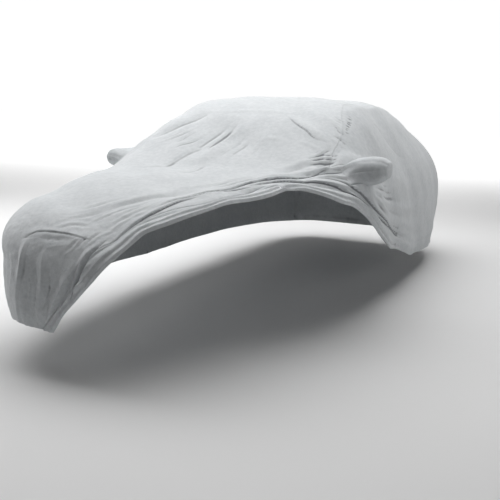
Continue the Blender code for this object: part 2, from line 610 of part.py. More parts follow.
def panel(name, base, extra_offset, flipped, hole=None):
    """A panel's solid from its points on the form. Returns its outer grid and normals."""
    rows, columns = base.shape[0] - 1, base.shape[1] - 1
    normals = form_normal(base)
    outer = base + normals * (shared_offset(base) + extra_offset)[..., None]
    cells = grid_cells(rows, columns, flipped, hole)
    flat_outer = outer.reshape(-1, 3)
    flat_normals = normals.reshape(-1, 3)
    moves, border = boundary_insets(flat_outer, flat_normals, cells)
    placed = flat_outer.copy()
    for corner, move in moves.items():
        placed[corner] += move
    sheet_object(name, placed, flat_normals, cells, border)
    return outer, normals


def mouth_columns(base):
    """The panel's columns nearest to the mirror pocket's two ends."""
    along = base[:, MOUTH_ROWS[0]:MOUTH_ROWS[1] + 1, 1].mean(axis=1)
    return tuple(int(np.abs(along - y).argmin()) for y in POCKET_MOUTH)


def mirror_pocket(name, sections, outer, normals, hole, flipped):
    """A pocket sewn into a side panel's mouth: rings outwards from the mouth and a closed tip."""
    first, last, top, bottom = hole
    wide, tall = last - first, bottom - top
    loop = ([(i, top) for i in range(first, last)] + [(last, j) for j in range(top, bottom)]
            + [(i, bottom) for i in range(last, first, -1)] + [(first, j) for j in range(bottom, top, -1)])
    mouth = np.array([outer[i, j] for i, j in loop])
    mouth_normals = np.array([normals[i, j] for i, j in loop])
    centre = mouth.mean(axis=0)
    towards = centre - mouth
    towards -= (towards * mouth_normals).sum(axis=1, keepdims=True) * mouth_normals
    towards /= np.linalg.norm(towards, axis=1, keepdims=True)
    seated = mouth + towards * SEAT_GAP

    def place(section, i, j):
        x, y_middle, z_middle, half_y, half_z = section
        across = 2 * (i - first) / wide - 1
        down = 2 * (j - top) / tall - 1
        size = max(abs(across), abs(down))
        power = (abs(across) ** POCKET_POWER + abs(down) ** POCKET_POWER) ** (1 / POCKET_POWER)
        scale = size / power if power else 0.0
        return np.array((x, y_middle + half_y * across * scale, z_middle - half_z * down * scale))

    rings = [seated - mouth_normals * SHEET, seated]
    first_section = np.array([place(sections[0], i, j) for i, j in loop])
    rings.append(blend(seated, first_section, 0.5) - towards * MOUTH_PINCH)
    rings += [np.array([place(section, i, j) for i, j in loop]) for section in sections]
    points = [tuple(p) for ring in rings for p in ring]
    around = len(loop)
    cells = []
    for r in range(len(rings) - 1):
        for k in range(around):
            a, b = r * around + k, r * around + (k + 1) % around
            cells.append((a, a + around, b + around, b) if flipped else (a, b, b + around, a + around))
    tip_numbers = {spot: (len(rings) - 1) * around + k for k, spot in enumerate(loop)}
    outwards = np.sign(sections[-1][0])
    for i in range(first + 1, last):
        for j in range(top + 1, bottom):
            tip_numbers[(i, j)] = len(points)
            points.append(tuple(place(sections[-1], i, j) + np.array((outwards * TIP_BULGE, 0, 0))))
    for i in range(first, last):
        for j in range(top, bottom):
            corners = [tip_numbers[s] for s in ((i, j), (i + 1, j), (i + 1, j + 1), (i, j + 1))]
            cells.append(tuple(reversed(corners)) if flipped else tuple(corners))
    points = np.array(points)
    point_normals = np.zeros_like(points)
    for cell in cells:
        diagonals = points[cell[2]] - points[cell[0]], points[cell[3]] - points[cell[1]]
        point_normals[list(cell)] += np.cross(*diagonals)
    point_normals /= np.linalg.norm(point_normals, axis=1, keepdims=True)
    directed = {(a, b) for cell in cells for a, b in zip(cell, cell[1:] + cell[:1])}
    border = [(a, b) for a, b in directed if (b, a) not in directed]
    sheet_object(name, points, point_normals, cells, border)


def build():
    for old in list(bpy.data.objects):
        bpy.data.objects.remove(old, do_unlink=True)

    left_x = smooth_column(LEFT_SEAM, 1)(GIRTH)[:, None]
    right_x = smooth_column(RIGHT_SEAM, 1)(GIRTH)[:, None]
    shares = 1 - (1 - np.arange(TOP_COLUMNS + 1) / TOP_COLUMNS) ** LEFT_CROWDING
    top = top_points(blend(right_x, left_x, shares[None, :]))
    panel("top_panel", top, np.zeros(top.shape[:2]), flipped=True)

    # The side panels share the top panel's seam rows, and their end edges its end rows
    tail_corner = LAST_ROW - SIDE_ROWS
    nose_corner = SIDE_ROWS
    left_seam, right_seam = top[:, -1], top[:, 0]

    girth = GIRTH[:tail_corner + 1]
    hem = hem_points(LEFT_HEM, girth)
    hem[-1] = left_seam[-1]
    left_shares = column_shares(LEFT_SHARES, girth)
    lifted_edge = cast_from_spine(blend(left_seam[0], hem[0], left_shares[0][:, None]))
    base = side_points(left_seam[:tail_corner + 1], hem, lifted_edge, left_seam[tail_corner:],
                       left_shares)
    hole = (*mouth_columns(base), *MOUTH_ROWS)
    outer, normals = panel("left_side_panel", base, pleat_offset(base, girth, left_shares),
                           flipped=True, hole=hole)
    mirror_pocket("left_mirror_pocket", LEFT_POCKET, outer, normals, hole, flipped=True)

    girth = GIRTH[nose_corner:tail_corner + 1]
    hem = hem_points(RIGHT_HEM, girth)
    hem[0], hem[-1] = right_seam[0], right_seam[-1]
    right_shares = column_shares(RIGHT_SHARES, girth)
    base = side_points(right_seam[nose_corner:tail_corner + 1], hem, right_seam[nose_corner::-1],
                       right_seam[tail_corner:], right_shares)
    hole = (*mouth_columns(base), *MOUTH_ROWS)
    outer, normals = panel("right_side_panel", base, np.zeros(base.shape[:2]), flipped=False,
                           hole=hole)
    mirror_pocket("right_mirror_pocket", RIGHT_POCKET, outer, normals, hole, flipped=False)


build()
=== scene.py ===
import math
from functools import partialmethod
import bpy
import numpy as np
from mathutils import Matrix, Vector


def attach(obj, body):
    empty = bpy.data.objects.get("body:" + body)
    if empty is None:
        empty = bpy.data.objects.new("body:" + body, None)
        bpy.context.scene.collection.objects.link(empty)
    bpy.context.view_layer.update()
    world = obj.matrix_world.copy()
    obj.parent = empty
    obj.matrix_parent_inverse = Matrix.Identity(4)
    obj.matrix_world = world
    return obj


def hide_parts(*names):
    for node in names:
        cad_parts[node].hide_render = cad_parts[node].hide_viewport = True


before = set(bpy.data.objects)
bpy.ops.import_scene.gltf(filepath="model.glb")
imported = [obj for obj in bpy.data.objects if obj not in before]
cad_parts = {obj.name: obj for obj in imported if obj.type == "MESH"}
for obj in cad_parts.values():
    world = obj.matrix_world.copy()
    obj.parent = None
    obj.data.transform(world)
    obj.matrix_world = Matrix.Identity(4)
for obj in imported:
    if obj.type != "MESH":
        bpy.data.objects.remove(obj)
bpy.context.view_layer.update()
print("frame loaded")

# Lengths are in metres, unless a table says otherwise, and heights are above the ground
cloth = {
    "thickness": 0.0026, "innerGap": 0.0012, "foldDepth": 0.65,
    "halfWidth": 0.955, "noseEnd": -3.03, "tailEnd": 2.28,
    "frontHem": 0.250, "rearHem": 0.175,
    "planPower": 4.9, "edgePower": 8.0, "raisedPower": 8.0, "crownDrop": 0.035, "crownReach": 0.80,
    "lowHeight": 0.78, "lowRun": 0.50, "lowMost": 1.3, "highHeight": 0.60, "highRun": 0.60,
    "forwardFrom": -1.10, "forwardRun": 1.60, "frontDraw": 0.035, "sideDraw": 0.008,
    "endDraw": 0.010, "sideLean": 0.020, "endLean": 0.008, "frontRounding": 0.9, "roundingRun": 0.2,
    "tuckHeight": 0.38, "tuckRun": 0.16, "tuckDepth": 0.020,
    "spineHeight": 0.55, "spineClearance": 0.70, "spineReach": 6.0,
    "noseBend": (-2.72, 0.62, 0.29), "tailBend": (1.98, 0.85, 0.30),
    "rowCounts": (6, 7, 58, 6, 7), "bowPower": 4.4, "bowRun": 0.90,
    "cornerPower": 6, "pleatFadeIn": 0.22, "cavityDepth": 0.004, "cavityCell": 0.010,
    "crumpledFrom": -2.5, "crumpledTo": -2.95, "hemCrumple": (0.03, 0.16),
}
# Cells between a side panel's control rows, along the cover up to and after one row, and across the top
grid = {
    "sideCells": (15, 12, 12, 12, 15, 12, 12, 9, 9, 6), "lengthRow": 43, "lengthCells": (297, 90),
    "topCells": 144, "topCrowding": 1.35, "innerStep": 3,
}
# A crest has soft hollows beside it, a crease is sharp, and a lap is cloth folded over itself: it
# stands up on the left of its route and drops steeply on the right
foldForm = {
    "crestHollow": 0.35, "lapStep": 0.28, "lapRise": 0.55, "lapRun": 4, "lapDrop": 1.25, "endPower": 0.7,
    "reach": {"soft": 3.5, "crest": 3.5, "crease": 6, "lap": 12},
}
sewing = {
    "seamDepth": 0.0007, "seamWidth": 0.004,
    "foldHeight": 0.0009, "foldFrom": (0.002, 0.006), "foldTo": (0.016, 0.022),
    "hemHeight": 0.0014, "hemTo": (0.018, 0.026),
    # gathers above the hem: length along, length across, offset of the noise, height, reach
    "gathers": ((0.020, 0.05, 3.1, 0.0035, 0.035), (0.045, 0.09, 7.7, 0.0050, 0.075)),
}
profile = np.array([
    # y, middle height, shoulder height, half width of the raised middle, in mm
    (-3100, 800, 800, 860), (-2900, 860, 860, 860), (-2600, 920, 900, 860), (-2100, 990, 960, 860),
    (-1650, 1055, 1000, 860), (-1350, 1165, 1030, 880), (-1000, 1345, 1040, 880), (-650, 1460, 1040, 850),
    (-250, 1500, 1040, 800), (200, 1500, 1050, 780), (650, 1475, 1055, 780), (1050, 1405, 1055, 765),
    (1450, 1280, 1055, 790), (1800, 1175, 1050, 840), (2300, 1120, 1030, 840),
]) / 1000
leftSeam = np.array([
    # girth, x, in mm
    (0, -290), (100, -208), (200, -120), (300, -47), (370, -18), (440, 10), (500, 52), (550, 86),
    (620, 104), (720, 124), (820, 155), (950, 252), (1130, 375), (1300, 432), (1520, 519), (1700, 594),
    (1820, 655), (1970, 703), (2090, 722), (2200, 712), (2280, 698), (2400, 694), (2530, 682), (2660, 643),
    (2800, 592), (3040, 535), (3600, 545), (4200, 550), (4650, 585), (5050, 660), (5400, 715), (5750, 740),
    (6600, 745),
]) / 1000
rightSeam = np.array([
    # girth, x, in mm
    (0, -655), (370, -690), (600, -715), (850, -745), (1400, -775), (1900, -765), (2090, -735),
    (2280, -695), (2530, -682), (2660, -645), (2800, -592), (3040, -535), (3600, -545), (4200, -550),
    (4650, -585), (5050, -660), (5400, -715), (5750, -740), (6600, -745),
]) / 1000
leftHem = np.array([
    # girth of the column that ends here, x, y, height, in mm
    (0, -231, -2996, 238), (100, -150, -3009, 345), (200, -62, -3015, 440), (300, 22, -3012, 530),
    (440, 88, -2998, 610), (550, 152, -2952, 698), (720, 215, -2840, 785), (850, 272, -2775, 817),
    (1020, 372, -2640, 864), (1300, 505, -2330, 928), (1520, 612, -2130, 946), (1700, 668, -1950, 968),
    (1820, 748, -1820, 960), (1970, 842, -1700, 918), (2090, 893, -1600, 876), (2200, 915, -1480, 846),
    (2390, 942, -1265, 766), (2530, 950, -1090, 684), (2800, 953, -770, 538), (3040, 952, -520, 438),
    (3300, 951, -250, 388), (3550, 949, 0, 326), (3860, 946, 310, 252), (4270, 943, 700, 214),
    (4670, 930, 1090, 186), (5050, 905, 1450, 168), (5350, 878, 1690, 168), (5600, 820, 1900, 172),
    (5760, 745, 2054, 175),
]) / 1000
rightHem = np.array([
    # girth of the column that ends here, x, y, height, in mm
    (630, -655, -2802, 250), (830, -755, -2620, 251), (1070, -828, -2400, 253), (1400, -885, -2100, 258),
    (2000, -935, -1500, 250), (2800, -950, -750, 238), (3600, -950, 50, 246), (4400, -940, 850, 232),
    (5050, -905, 1450, 206), (5350, -878, 1690, 190), (5600, -820, 1900, 180), (5760, -745, 2054, 175),
]) / 1000
leftShares = [
    # girth, upper share, lower share
    (0, 0.1, 0.4), (1.6, 0.12, 0.42), (2.28, 0.28, 0.62), (2.53, 0.36, 0.61), (3.2, 0.14, 0.4),
    (5.8, 0.12, 0.36),
]
rightShares = [
    # girth, upper share, lower share
    (0.6, 0.1, 0.36), (1.8, 0.11, 0.3), (2.2, 0.13, 0.26), (2.53, 0.22, 0.36), (3.2, 0.14, 0.38),
    (5.8, 0.12, 0.36),
]
lowerShares = (0.28, 0.52, 0.72, 0.86, 0.95, 1.0)
pleat = [
    # distance from the free edge, offset outwards
    (0, -0.01), (0.014, 0.008), (0.034, 0.004), (0.052, 0.013), (0.078, 0.004), (0.1, -0.01), (0.14, 0.01),
    (0.2, 0), (0.3, 0),
]
pleatStrength = [
    # girth, share
    (0, 0.6), (0.6, 0.8), (1.8, 0.9), (2.6, 0.9), (3, 0.6), (3.5, 0.3), (4.2, 0.15), (5.8, 0.1),
]
mainFolds = {
    # height and width in mm, then each point in cm: (x, y) on top, (y, height above ground) on the
    # sides and (x, height above ground) at the ends
    "top": [
        (16, 50, (60, -72), (60, -40), (58.5, 0), (58, 40), (57, 80)),
        (-16, 24, (10, -286), (16, -273), (26, -260), (38, -241), (52, -202), (60, -184), (68, -168)),
        (-15, 26, (20, -244), (34, -220), (45, -193), (62, -165), (71, -146)),
        (14, 36, (0, -274), (12, -258), (27, -238), (40, -210), (50, -180)),
        (-9, 45, (-20, -268), (-3, -260), (10, -246), (22, -228), (30, -200)),
        (10, 60, (-42, -276), (-17, -266), (2, -246), (14, -218)),
        (7, 80, (-55, -230), (-30, -210), (-10, -180)),
        (11, 34, (44, -162), (55, -148), (64, -136), (70, -129)),
        (10, 30, (42, -186), (58, -162), (71, -142)),
        (-8, 30, (46, -170), (60, -150), (71, -134)),
        (13, 50, (22, -86), (43, -106), (56, -114), (68, -119)),
        (-10, 45, (26, -100), (44, -117), (60, -124)),
        (10, 42, (34, -78), (50, -90), (66, -96)),
        (-12, 50, (-28, -173), (-20, -148), (-17, -128), (-6, -102)),
        (10, 55, (-16, -172), (-8, -148), (-4, -126), (6, -106)),
        (-9, 50, (-2, -175), (3, -150), (9, -130)),
        (-12, 50, (-68, -126), (-56, -118), (-48, -106), (-36, -90)),
        (11, 55, (-66, -112), (-54, -104), (-42, -88)),
        (-10, 90, (-62, -155), (-30, -166), (10, -168), (45, -160)),
        (-6, 160, (-30, 10), (0, 20), (30, 5)),
        (6, 100, (-45, -10), (0, -32), (42, -14)),
        (12, 60, (-55, 110), (-30, 140), (-5, 162)),
        (12, 60, (56, 105), (33, 136), (12, 160)),
        (-10, 90, (-60, 166), (0, 174), (60, 166)),
        (8, 70, (-62, 190), (-10, 198), (50, 192)),
    ],
    "left": [
        (-9, 30, (-157, 100), (-139, 96), (-127, 90), (-114, 83), (-91, 75), (-52, 60), (-10, 49)),
        (7, 32, (-146, 103), (-127, 96), (-110, 88), (-86, 80), (-43, 66), (10, 52)),
        (6, 30, (-150, 93), (-130, 87), (-105, 75), (-75, 62), (-40, 51), (10, 40)),
        (8, 50, (-114, 93), (-86, 91), (-42, 87)),
        (-7, 45, (-110, 90), (-80, 84), (-28, 76), (20, 73)),
        (8, 55, (-106, 86), (-70, 78), (-10, 69), (50, 66)),
        (-6, 55, (-72, 72), (-20, 61), (60, 55)),
        (7, 60, (-44, 63), (14, 53), (84, 44), (140, 44)),
        (6, 50, (-20, 46), (42, 34), (116, 28)),
        (-4, 60, (-10, 134), (-8, 126), (0, 114), (30, 100)),
        (3, 60, (10, 136), (16, 124), (34, 108), (70, 94)),
        (-4, 70, (58, 128), (68, 120), (90, 106)),
        (6, 50, (-62, 134), (-60, 120), (-66, 106)),
        (6, 50, (-98, 104), (-46, 96), (0, 86), (60, 80)),
        (-5, 80, (120, 116), (150, 90), (160, 60)),
    ],
    "right": [
        (14, 70, (-110, 96), (-50, 86), (40, 84)),
        (-12, 80, (-120, 88), (-170, 62), (-210, 44)),
        (12, 70, (-105, 88), (-80, 60), (-70, 36)),
        (-12, 70, (0, 132), (10, 110), (30, 86)),
        (12, 80, (50, 80), (60, 55), (55, 32)),
        (12, 70, (110, 122), (130, 96), (135, 60)),
        (10, 60, (-250, 74), (-240, 50), (-242, 30)),
        (-10, 60, (-215, 80), (-205, 55), (-210, 32)),
    ],
    "front": [
        (9, 32, (-46, 70), (-36, 74.2), (-20, 74.5), (-4, 74)),
        (-4, 40, (-42, 67.5), (-30, 65.5), (-10, 65.5)),
        (30, 30, (-43, 71), (-41, 60), (-42, 45), (-46, 26)),
        (-12, 26, (-34, 66), (-33, 52), (-37, 30)),
        (11, 22, (-28.5, 68), (-26.2, 54), (-27.5, 42), (-31, 27)),
        (-10, 24, (-24, 63), (-22, 48), (-25, 36)),
        (12, 26, (-6, 68), (-13, 54), (-20, 42), (-28, 30)),
        (-10, 24, (-3, 64), (-9, 53), (-16, 42), (-23, 33)),
        (-8, 60, (-56, 66), (-55, 45), (-58, 30)),
    ],
    "rear": [
        (12, 50, (-60, 98), (0, 100), (60, 98)),
        (-10, 60, (-50, 90), (-46, 60), (-52, 34)),
        (10, 60, (-20, 86), (-14, 56), (-18, 32)),
        (-10, 60, (22, 88), (18, 58), (24, 34)),
        (10, 60, (54, 88), (50, 60), (56, 34)),
    ],
}
swells = [
    # height, length along x, along y, along z, phase
    (0.005, 1.3, 0.9, 1.1, 0.3),
    (0.0035, 0.7, 0.62, 0.8, 1.9),
    (0.0022, 0.46, 0.38, 0.5, 4.2),
]
crumples = [
    # seed, size, height, height added at the front end
    (61, 0.170, 0.0012, -0.0004), (62, 0.075, 0.0007, 0.0010), (63, 0.034, 0.0003, 0.0013),
    (64, 0.020, 0.0, 0.0007),
]
# How the crumples' own places are shifted, and where along y the front end's crumples grow
bending = {"size": 0.22, "apart": 9.3, "amount": 0.04, "seed": 70, "from": -2.55, "to": -2.95}


def smoothColumn(rows, column):
    table = np.array(rows, float)
    knots, values = table[:, 0], table[:, column]
    steps = np.diff(knots)
    slopes = np.diff(values) / steps
    tangents = np.concatenate([slopes[:1], (slopes[:-1] + slopes[1:]) / 2, slopes[-1:]])
    tangents[1:-1] = np.where(slopes[:-1] * slopes[1:] <= 0, 0, tangents[1:-1])
    limit = 3 * np.minimum(np.abs(slopes[:-1]), np.abs(slopes[1:]))
    tangents[1:-1] = np.clip(tangents[1:-1], -limit, limit)

    def valueAt(x):
        x = np.clip(x, knots[0], knots[-1])
        k = np.clip(np.searchsorted(knots, x, side="right") - 1, 0, len(steps) - 1)
        t = (x - knots[k]) / steps[k]
        start = (1 + 2 * t) * (1 - t) ** 2 * values[k] + t * (1 - t) ** 2 * steps[k] * tangents[k]
        return start + t**2 * (3 - 2 * t) * values[k + 1] - t**2 * (1 - t) * steps[k] * tangents[k + 1]

    return valueAt


middleHeight, shoulderHeight, raisedHalf = (smoothColumn(profile, k) for k in (1, 2, 3))


def blend(start, end, share):
    return start + (end - start) * share


def smoothStep(low, high, x):
    t = np.clip((x - low) / (high - low), 0, 1)
    return t * t * (3 - 2 * t)


def unit(vectors, least=0.0):
    return vectors / np.maximum(np.linalg.norm(vectors, axis=-1, keepdims=True), least)


def formValue(points):
    # the smooth form without folds: under 0 inside, over 0 outside
    x, y, z = points[..., 0], points[..., 1], points[..., 2]
    c = cloth
    forward = np.clip((c["forwardFrom"] - y) / c["forwardRun"], 0, 1)
    low = np.clip((c["lowHeight"] - z) / c["lowRun"], 0, c["lowMost"]) ** 2
    high = np.clip((z - c["highHeight"]) / c["highRun"], 0, 1) ** 2
    rounding = c["frontRounding"] * forward * np.clip((c["lowHeight"] - z) / c["roundingRun"], 0, 1)
    power = c["planPower"] - rounding
    width = c["halfWidth"] * (1 - c["frontDraw"] * low * forward - c["sideDraw"] * low - c["sideLean"] * high)
    length = (c["tailEnd"] - c["noseEnd"]) / 2 * (1 - c["endDraw"] * low - c["endLean"] * high)
    along = (y - (c["tailEnd"] + c["noseEnd"]) / 2) / length
    plan = (np.abs(x / width) ** power + np.abs(along) ** power) ** (1 / power)
    rise = 1 / (1 + (np.abs(x) / raisedHalf(y)) ** c["raisedPower"])
    shoulder = shoulderHeight(y)
    top = shoulder + (middleHeight(y) - shoulder) * rise - c["crownDrop"] * (x / c["crownReach"]) ** 2
    tall = np.maximum(z, 0) / top
    return (plan ** c["edgePower"] + tall ** c["edgePower"]) ** (1 / c["edgePower"]) - 1


def cast(origins, directions, reach=4.0, halvings=34):
    near = np.zeros(origins.shape[:-1])
    far = np.full(origins.shape[:-1], reach)
    for _ in range(halvings):
        middle = (near + far) / 2
        inside = formValue(origins + directions * middle[..., None]) < 0
        near = np.where(inside, middle, near)
        far = np.where(inside, far, middle)
    return origins + directions * near[..., None]


def formNormal(points, step=0.004):
    return unit(np.stack([formValue(points + axis) - formValue(points - axis)
                          for axis in np.eye(3) * step], axis=-1))


def castFromSpine(targets):
    spine = np.zeros_like(targets)
    spine[..., 1] = np.clip(targets[..., 1], cloth["noseEnd"] + cloth["spineClearance"],
                            cloth["tailEnd"] - cloth["spineClearance"])
    spine[..., 2] = cloth["spineHeight"]
    return cast(spine, targets - spine, reach=cloth["spineReach"])


def middleRows():
    # control rows along the middle line: y, height, angle of the way outwards, girth
    (noseY, noseZ, noseRadius), (tailY, tailZ, tailRadius) = cloth["noseBend"], cloth["tailBend"]
    quarter = math.pi / 2
    places = [(noseY, cloth["frontHem"], 0), (noseY, noseZ, 0), (noseY, noseZ, quarter),
              (tailY, tailZ, quarter), (tailY, tailZ, 2 * quarter), (tailY, cloth["rearHem"], 2 * quarter)]
    lengths = (noseZ - cloth["frontHem"], noseRadius * quarter, tailY - noseY, tailRadius * quarter,
               tailZ - cloth["rearHem"])
    knots = np.column_stack([places, np.cumsum([0, *lengths])])
    numbers = np.cumsum([0, *cloth["rowCounts"]])
    return np.stack([np.interp(np.arange(numbers[-1] + 1), numbers, column) for column in knots.T], axis=1)


def rowValues(numbers, column):
    return np.interp(numbers, np.arange(len(rows)), rows[:, column])


def spread(knots, counts):
    parts = [np.linspace(a, b, n, endpoint=False) for a, b, n in zip(knots, knots[1:], counts)]
    return np.concatenate([*parts, [knots[-1]]])


rows = middleRows()
sideRows = len(grid["sideCells"])
noseCorner = sideRows
tailCorner = len(rows) - 1 - sideRows
sideNumbers = spread(range(sideRows + 1), grid["sideCells"])
lengthNumbers = spread((noseCorner, grid["lengthRow"], tailCorner), grid["lengthCells"])
topNumbers = np.concatenate([noseCorner - sideNumbers[:0:-1], lengthNumbers, tailCorner + sideNumbers[1:]])
topShares = 1 - (1 - np.linspace(0, 1, grid["topCells"] + 1)) ** grid["topCrowding"]
innerStep = grid["innerStep"]


def bowed(y, x):
    squareness = (1 - (np.abs(x) / cloth["halfWidth"]) ** cloth["bowPower"]) ** (1 / cloth["bowPower"])
    bow = (cloth["tailEnd"] - cloth["noseEnd"]) / 2 * (1 - squareness)
    fromNose = np.clip(1 - (y - cloth["noseBend"][0]) / cloth["bowRun"], 0, 1) ** 2
    fromTail = np.clip(1 - (cloth["tailBend"][0] - y) / cloth["bowRun"], 0, 1) ** 2
    return y + bow * (fromNose - fromTail)


def topPoints(numbers, x):
    y, height, angle = (np.broadcast_to(rowValues(numbers, k)[:, None], x.shape) for k in range(3))
    anchors = np.stack([x, bowed(y, x), height], axis=-1)
    return cast(anchors, np.stack([0 * x, -np.cos(angle), np.sin(angle)], axis=-1))


def foldLine(points, samples=14):
    # a smooth line through the points, and how far along it each of its own points lies
    padded = np.vstack([2 * points[0] - points[1], points, 2 * points[-1] - points[-2]])
    t = (np.arange(samples) / samples)[:, None]
    stretches = [b + 0.5 * ((c - a) * t + (2 * a - 5 * b + 4 * c - d) * t**2 + (3 * b - a - 3 * c + d) * t**3)
                 for a, b, c, d in zip(padded, padded[1:], padded[2:], padded[3:])]
    line = np.vstack([*stretches, points[-1:]])
    return line, np.concatenate([[0], np.cumsum(np.linalg.norm(np.diff(line, axis=0), axis=1))])


def laidRoute(zone, route):
    a, b = (np.array(route) / 100).T
    none = 0 * a
    origins, way = {
        "top": ((a, b, none + cloth["spineHeight"]), (0, 0, 1)),
        "left": ((none, a, b), (1, 0, 0)),
        "right": ((none, a, b), (-1, 0, 0)),
        "front": ((a, none + cloth["noseBend"][0], b), (0, -1, 0)),
        "rear": ((a, none + cloth["tailBend"][0], b), (0, 1, 0)),
    }[zone]
    return cast(np.stack(origins, axis=1), np.array([way] * len(a), float))


# Fine folds: height and width in mm, then (x, y, height above ground) of each point in cm
crests = [
    # Front stretch, from the front end back to the left pocket
    (-15, 20, (44, -217, 96), (53, -205, 97), (59, -198, 98), (64, -194, 97), (70, -183, 97)),
    (-5, 16, (-28, -281, 80), (-17, -274, 84), (-7, -265, 87), (5, -249, 92), (15, -238, 93)),
    (-3.5, 14, (-27, -269, 85), (-18, -262, 88), (-7, -251, 91)),
    (-3.5, 18, (-12, -271, 85), (-5, -262, 88), (10, -246, 92), (18, -236, 93)),
    (3, 14, (-28, -287, 77), (-23, -283, 79), (-15, -280, 81)),
    (-3, 14, (-22, -284, 79), (-16, -283, 79), (-10, -283, 80)),
    (3.5, 13, (-3, -289, 75), (2, -285, 78), (5, -279, 82), (9, -271, 85), (14, -264, 88)),
    # Foot of the front slope
    (-3.5, 18, (-41, -182, 101), (-34, -175, 103), (-28, -172, 103), (-26, -163, 106)),
    (-3, 18, (-10, -196, 100), (-6, -187, 101), (-2, -178, 102), (-2, -163, 106)),
    # Front slope
    (-3, 23, (-66, -126, 116), (-54, -118, 123), (-47, -110, 128), (-40, -101, 133), (-33, -90, 138)),
    (2.4, 26, (-64, -116, 122), (-52, -108, 129), (-44, -97, 135)),
    (-3.6, 22, (-36, -179, 102), (-30, -172, 103), (-25, -156, 108), (-22, -147, 111), (-18, -142, 113),
        (-15, -132, 118)),
    (-4.8, 23, (-14, -150, 111), (-11, -139, 115), (-9.5, -127, 121), (-7.5, -118, 125), (-5, -107, 131)),
    (3.6, 20, (-16, -142, 113), (-13, -132, 118), (-11.5, -124, 122), (-9, -114, 127)),
    (-2.4, 23, (-2, -180, 102), (-5, -164, 106), (-3.5, -154, 109), (-3, -143, 113)),
    (-3, 23, (12, -172, 104), (10, -156, 108), (8.7, -143, 113), (10, -135, 117), (12, -128, 120)),
    (2.1, 17, (20, -134, 117), (20, -126, 121), (24, -123, 122), (32, -124, 121)),
    (1.8, 20, (36, -97, 135), (45, -105, 131), (53, -111, 127), (61, -113, 124)),
    (-2.7, 19, (42, -85, 139), (49, -90, 137), (56, -97, 133), (60, -103, 130)),
    (2.4, 19, (45, -122, 122), (53, -125, 119), (61, -128, 117), (67, -130, 114)),
    (3, 29, (-42, -93, 137), (-12, -90, 138), (20, -87, 139), (44, -86, 138)),
    # Towards the left pocket
    (-6, 12, (57, -143, 111), (63, -136, 113), (67, -124, 117)),
    (6, 12, (60, -147, 109), (66, -140, 110), (70, -129, 113)),
    (-6, 12, (66, -150, 106), (71, -139, 109), (74, -130, 111)),
    (8, 13, (62, -160, 104), (70, -148, 106), (76, -138, 106), (82, -130, 105)),
    (6, 12, (70, -160, 102), (77, -148, 102), (83, -140, 101), (89, -130, 99)),
    # Down the left side along the lifted edge
    (8, 20, (89, -147, 91), (93, -127, 82), (95, -104, 73), (95, -75, 63), (95, -40, 51), (95, 23, 33)),
    # Swags under the left pocket and behind it
    (3.9, 22, (91, -115, 92), (93, -102, 86), (94, -76, 80), (95, -45, 76)),
    (-3.9, 24, (92, -117, 88), (94, -96, 80), (95, -61, 72), (95, -27, 66)),
    (3.3, 24, (95, -76, 72), (95, -67, 67), (95, -33, 60), (95, 5, 55)),
    (-3.3, 22, (95, -73, 66), (95, -53, 60), (95, -16, 53), (95, 25, 46)),
    (3.3, 30, (95, -40, 52), (95, 0, 41), (95, 44, 33)),
    (-2.2, 16, (90, -98, 99), (93, -84, 95), (94, -66, 90)),
    # Upper part of the left side
    (4, 14, (67, -30, 138), (72, -24, 132), (77, -15, 124), (81, -3, 115)),
    (-3.5, 14, (64, 29, 139), (69, 29, 133), (74, 33, 127)),
    (-2.8, 16, (62, -66, 139), (66, -80, 134), (68, -92, 130), (71, -102, 124)),
    # Front end
    (-7, 14, (-40, -294, 69), (-39.5, -297, 63), (-39.5, -299, 56), (-41, -299, 48), (-43, -298, 39),
        (-45, -296, 25)),
    (-4.5, 14, (-32.5, -298, 62), (-30.8, -300, 52), (-32.5, -300, 42), (-35, -299, 30)),
    (-3, 12, (-37, -292.5, 72), (-27, -292.5, 72), (-18, -292, 72.5), (-12, -292, 72.5)),
    (11, 12, (1.8, -292, 73), (-0.8, -295, 70), (-2.7, -297, 66.5), (-3.9, -299, 63), (-5.1, -301, 58),
        (-8.1, -301, 51), (-10.5, -301, 45), (-14, -301, 39)),
    (-4, 10, (-6, -289, 76), (-8.3, -293, 72), (-10, -296, 69)),
    (-4, 10, (-2, -286, 78), (-4.4, -291, 74), (-6, -295, 70)),
    (-3, 9, (-9, -290, 74), (-12.6, -295, 70), (-14.5, -297, 67)),
    (-4, 12, (-21.5, -301, 42), (-25, -300, 34), (-27.5, -299, 28)),
]
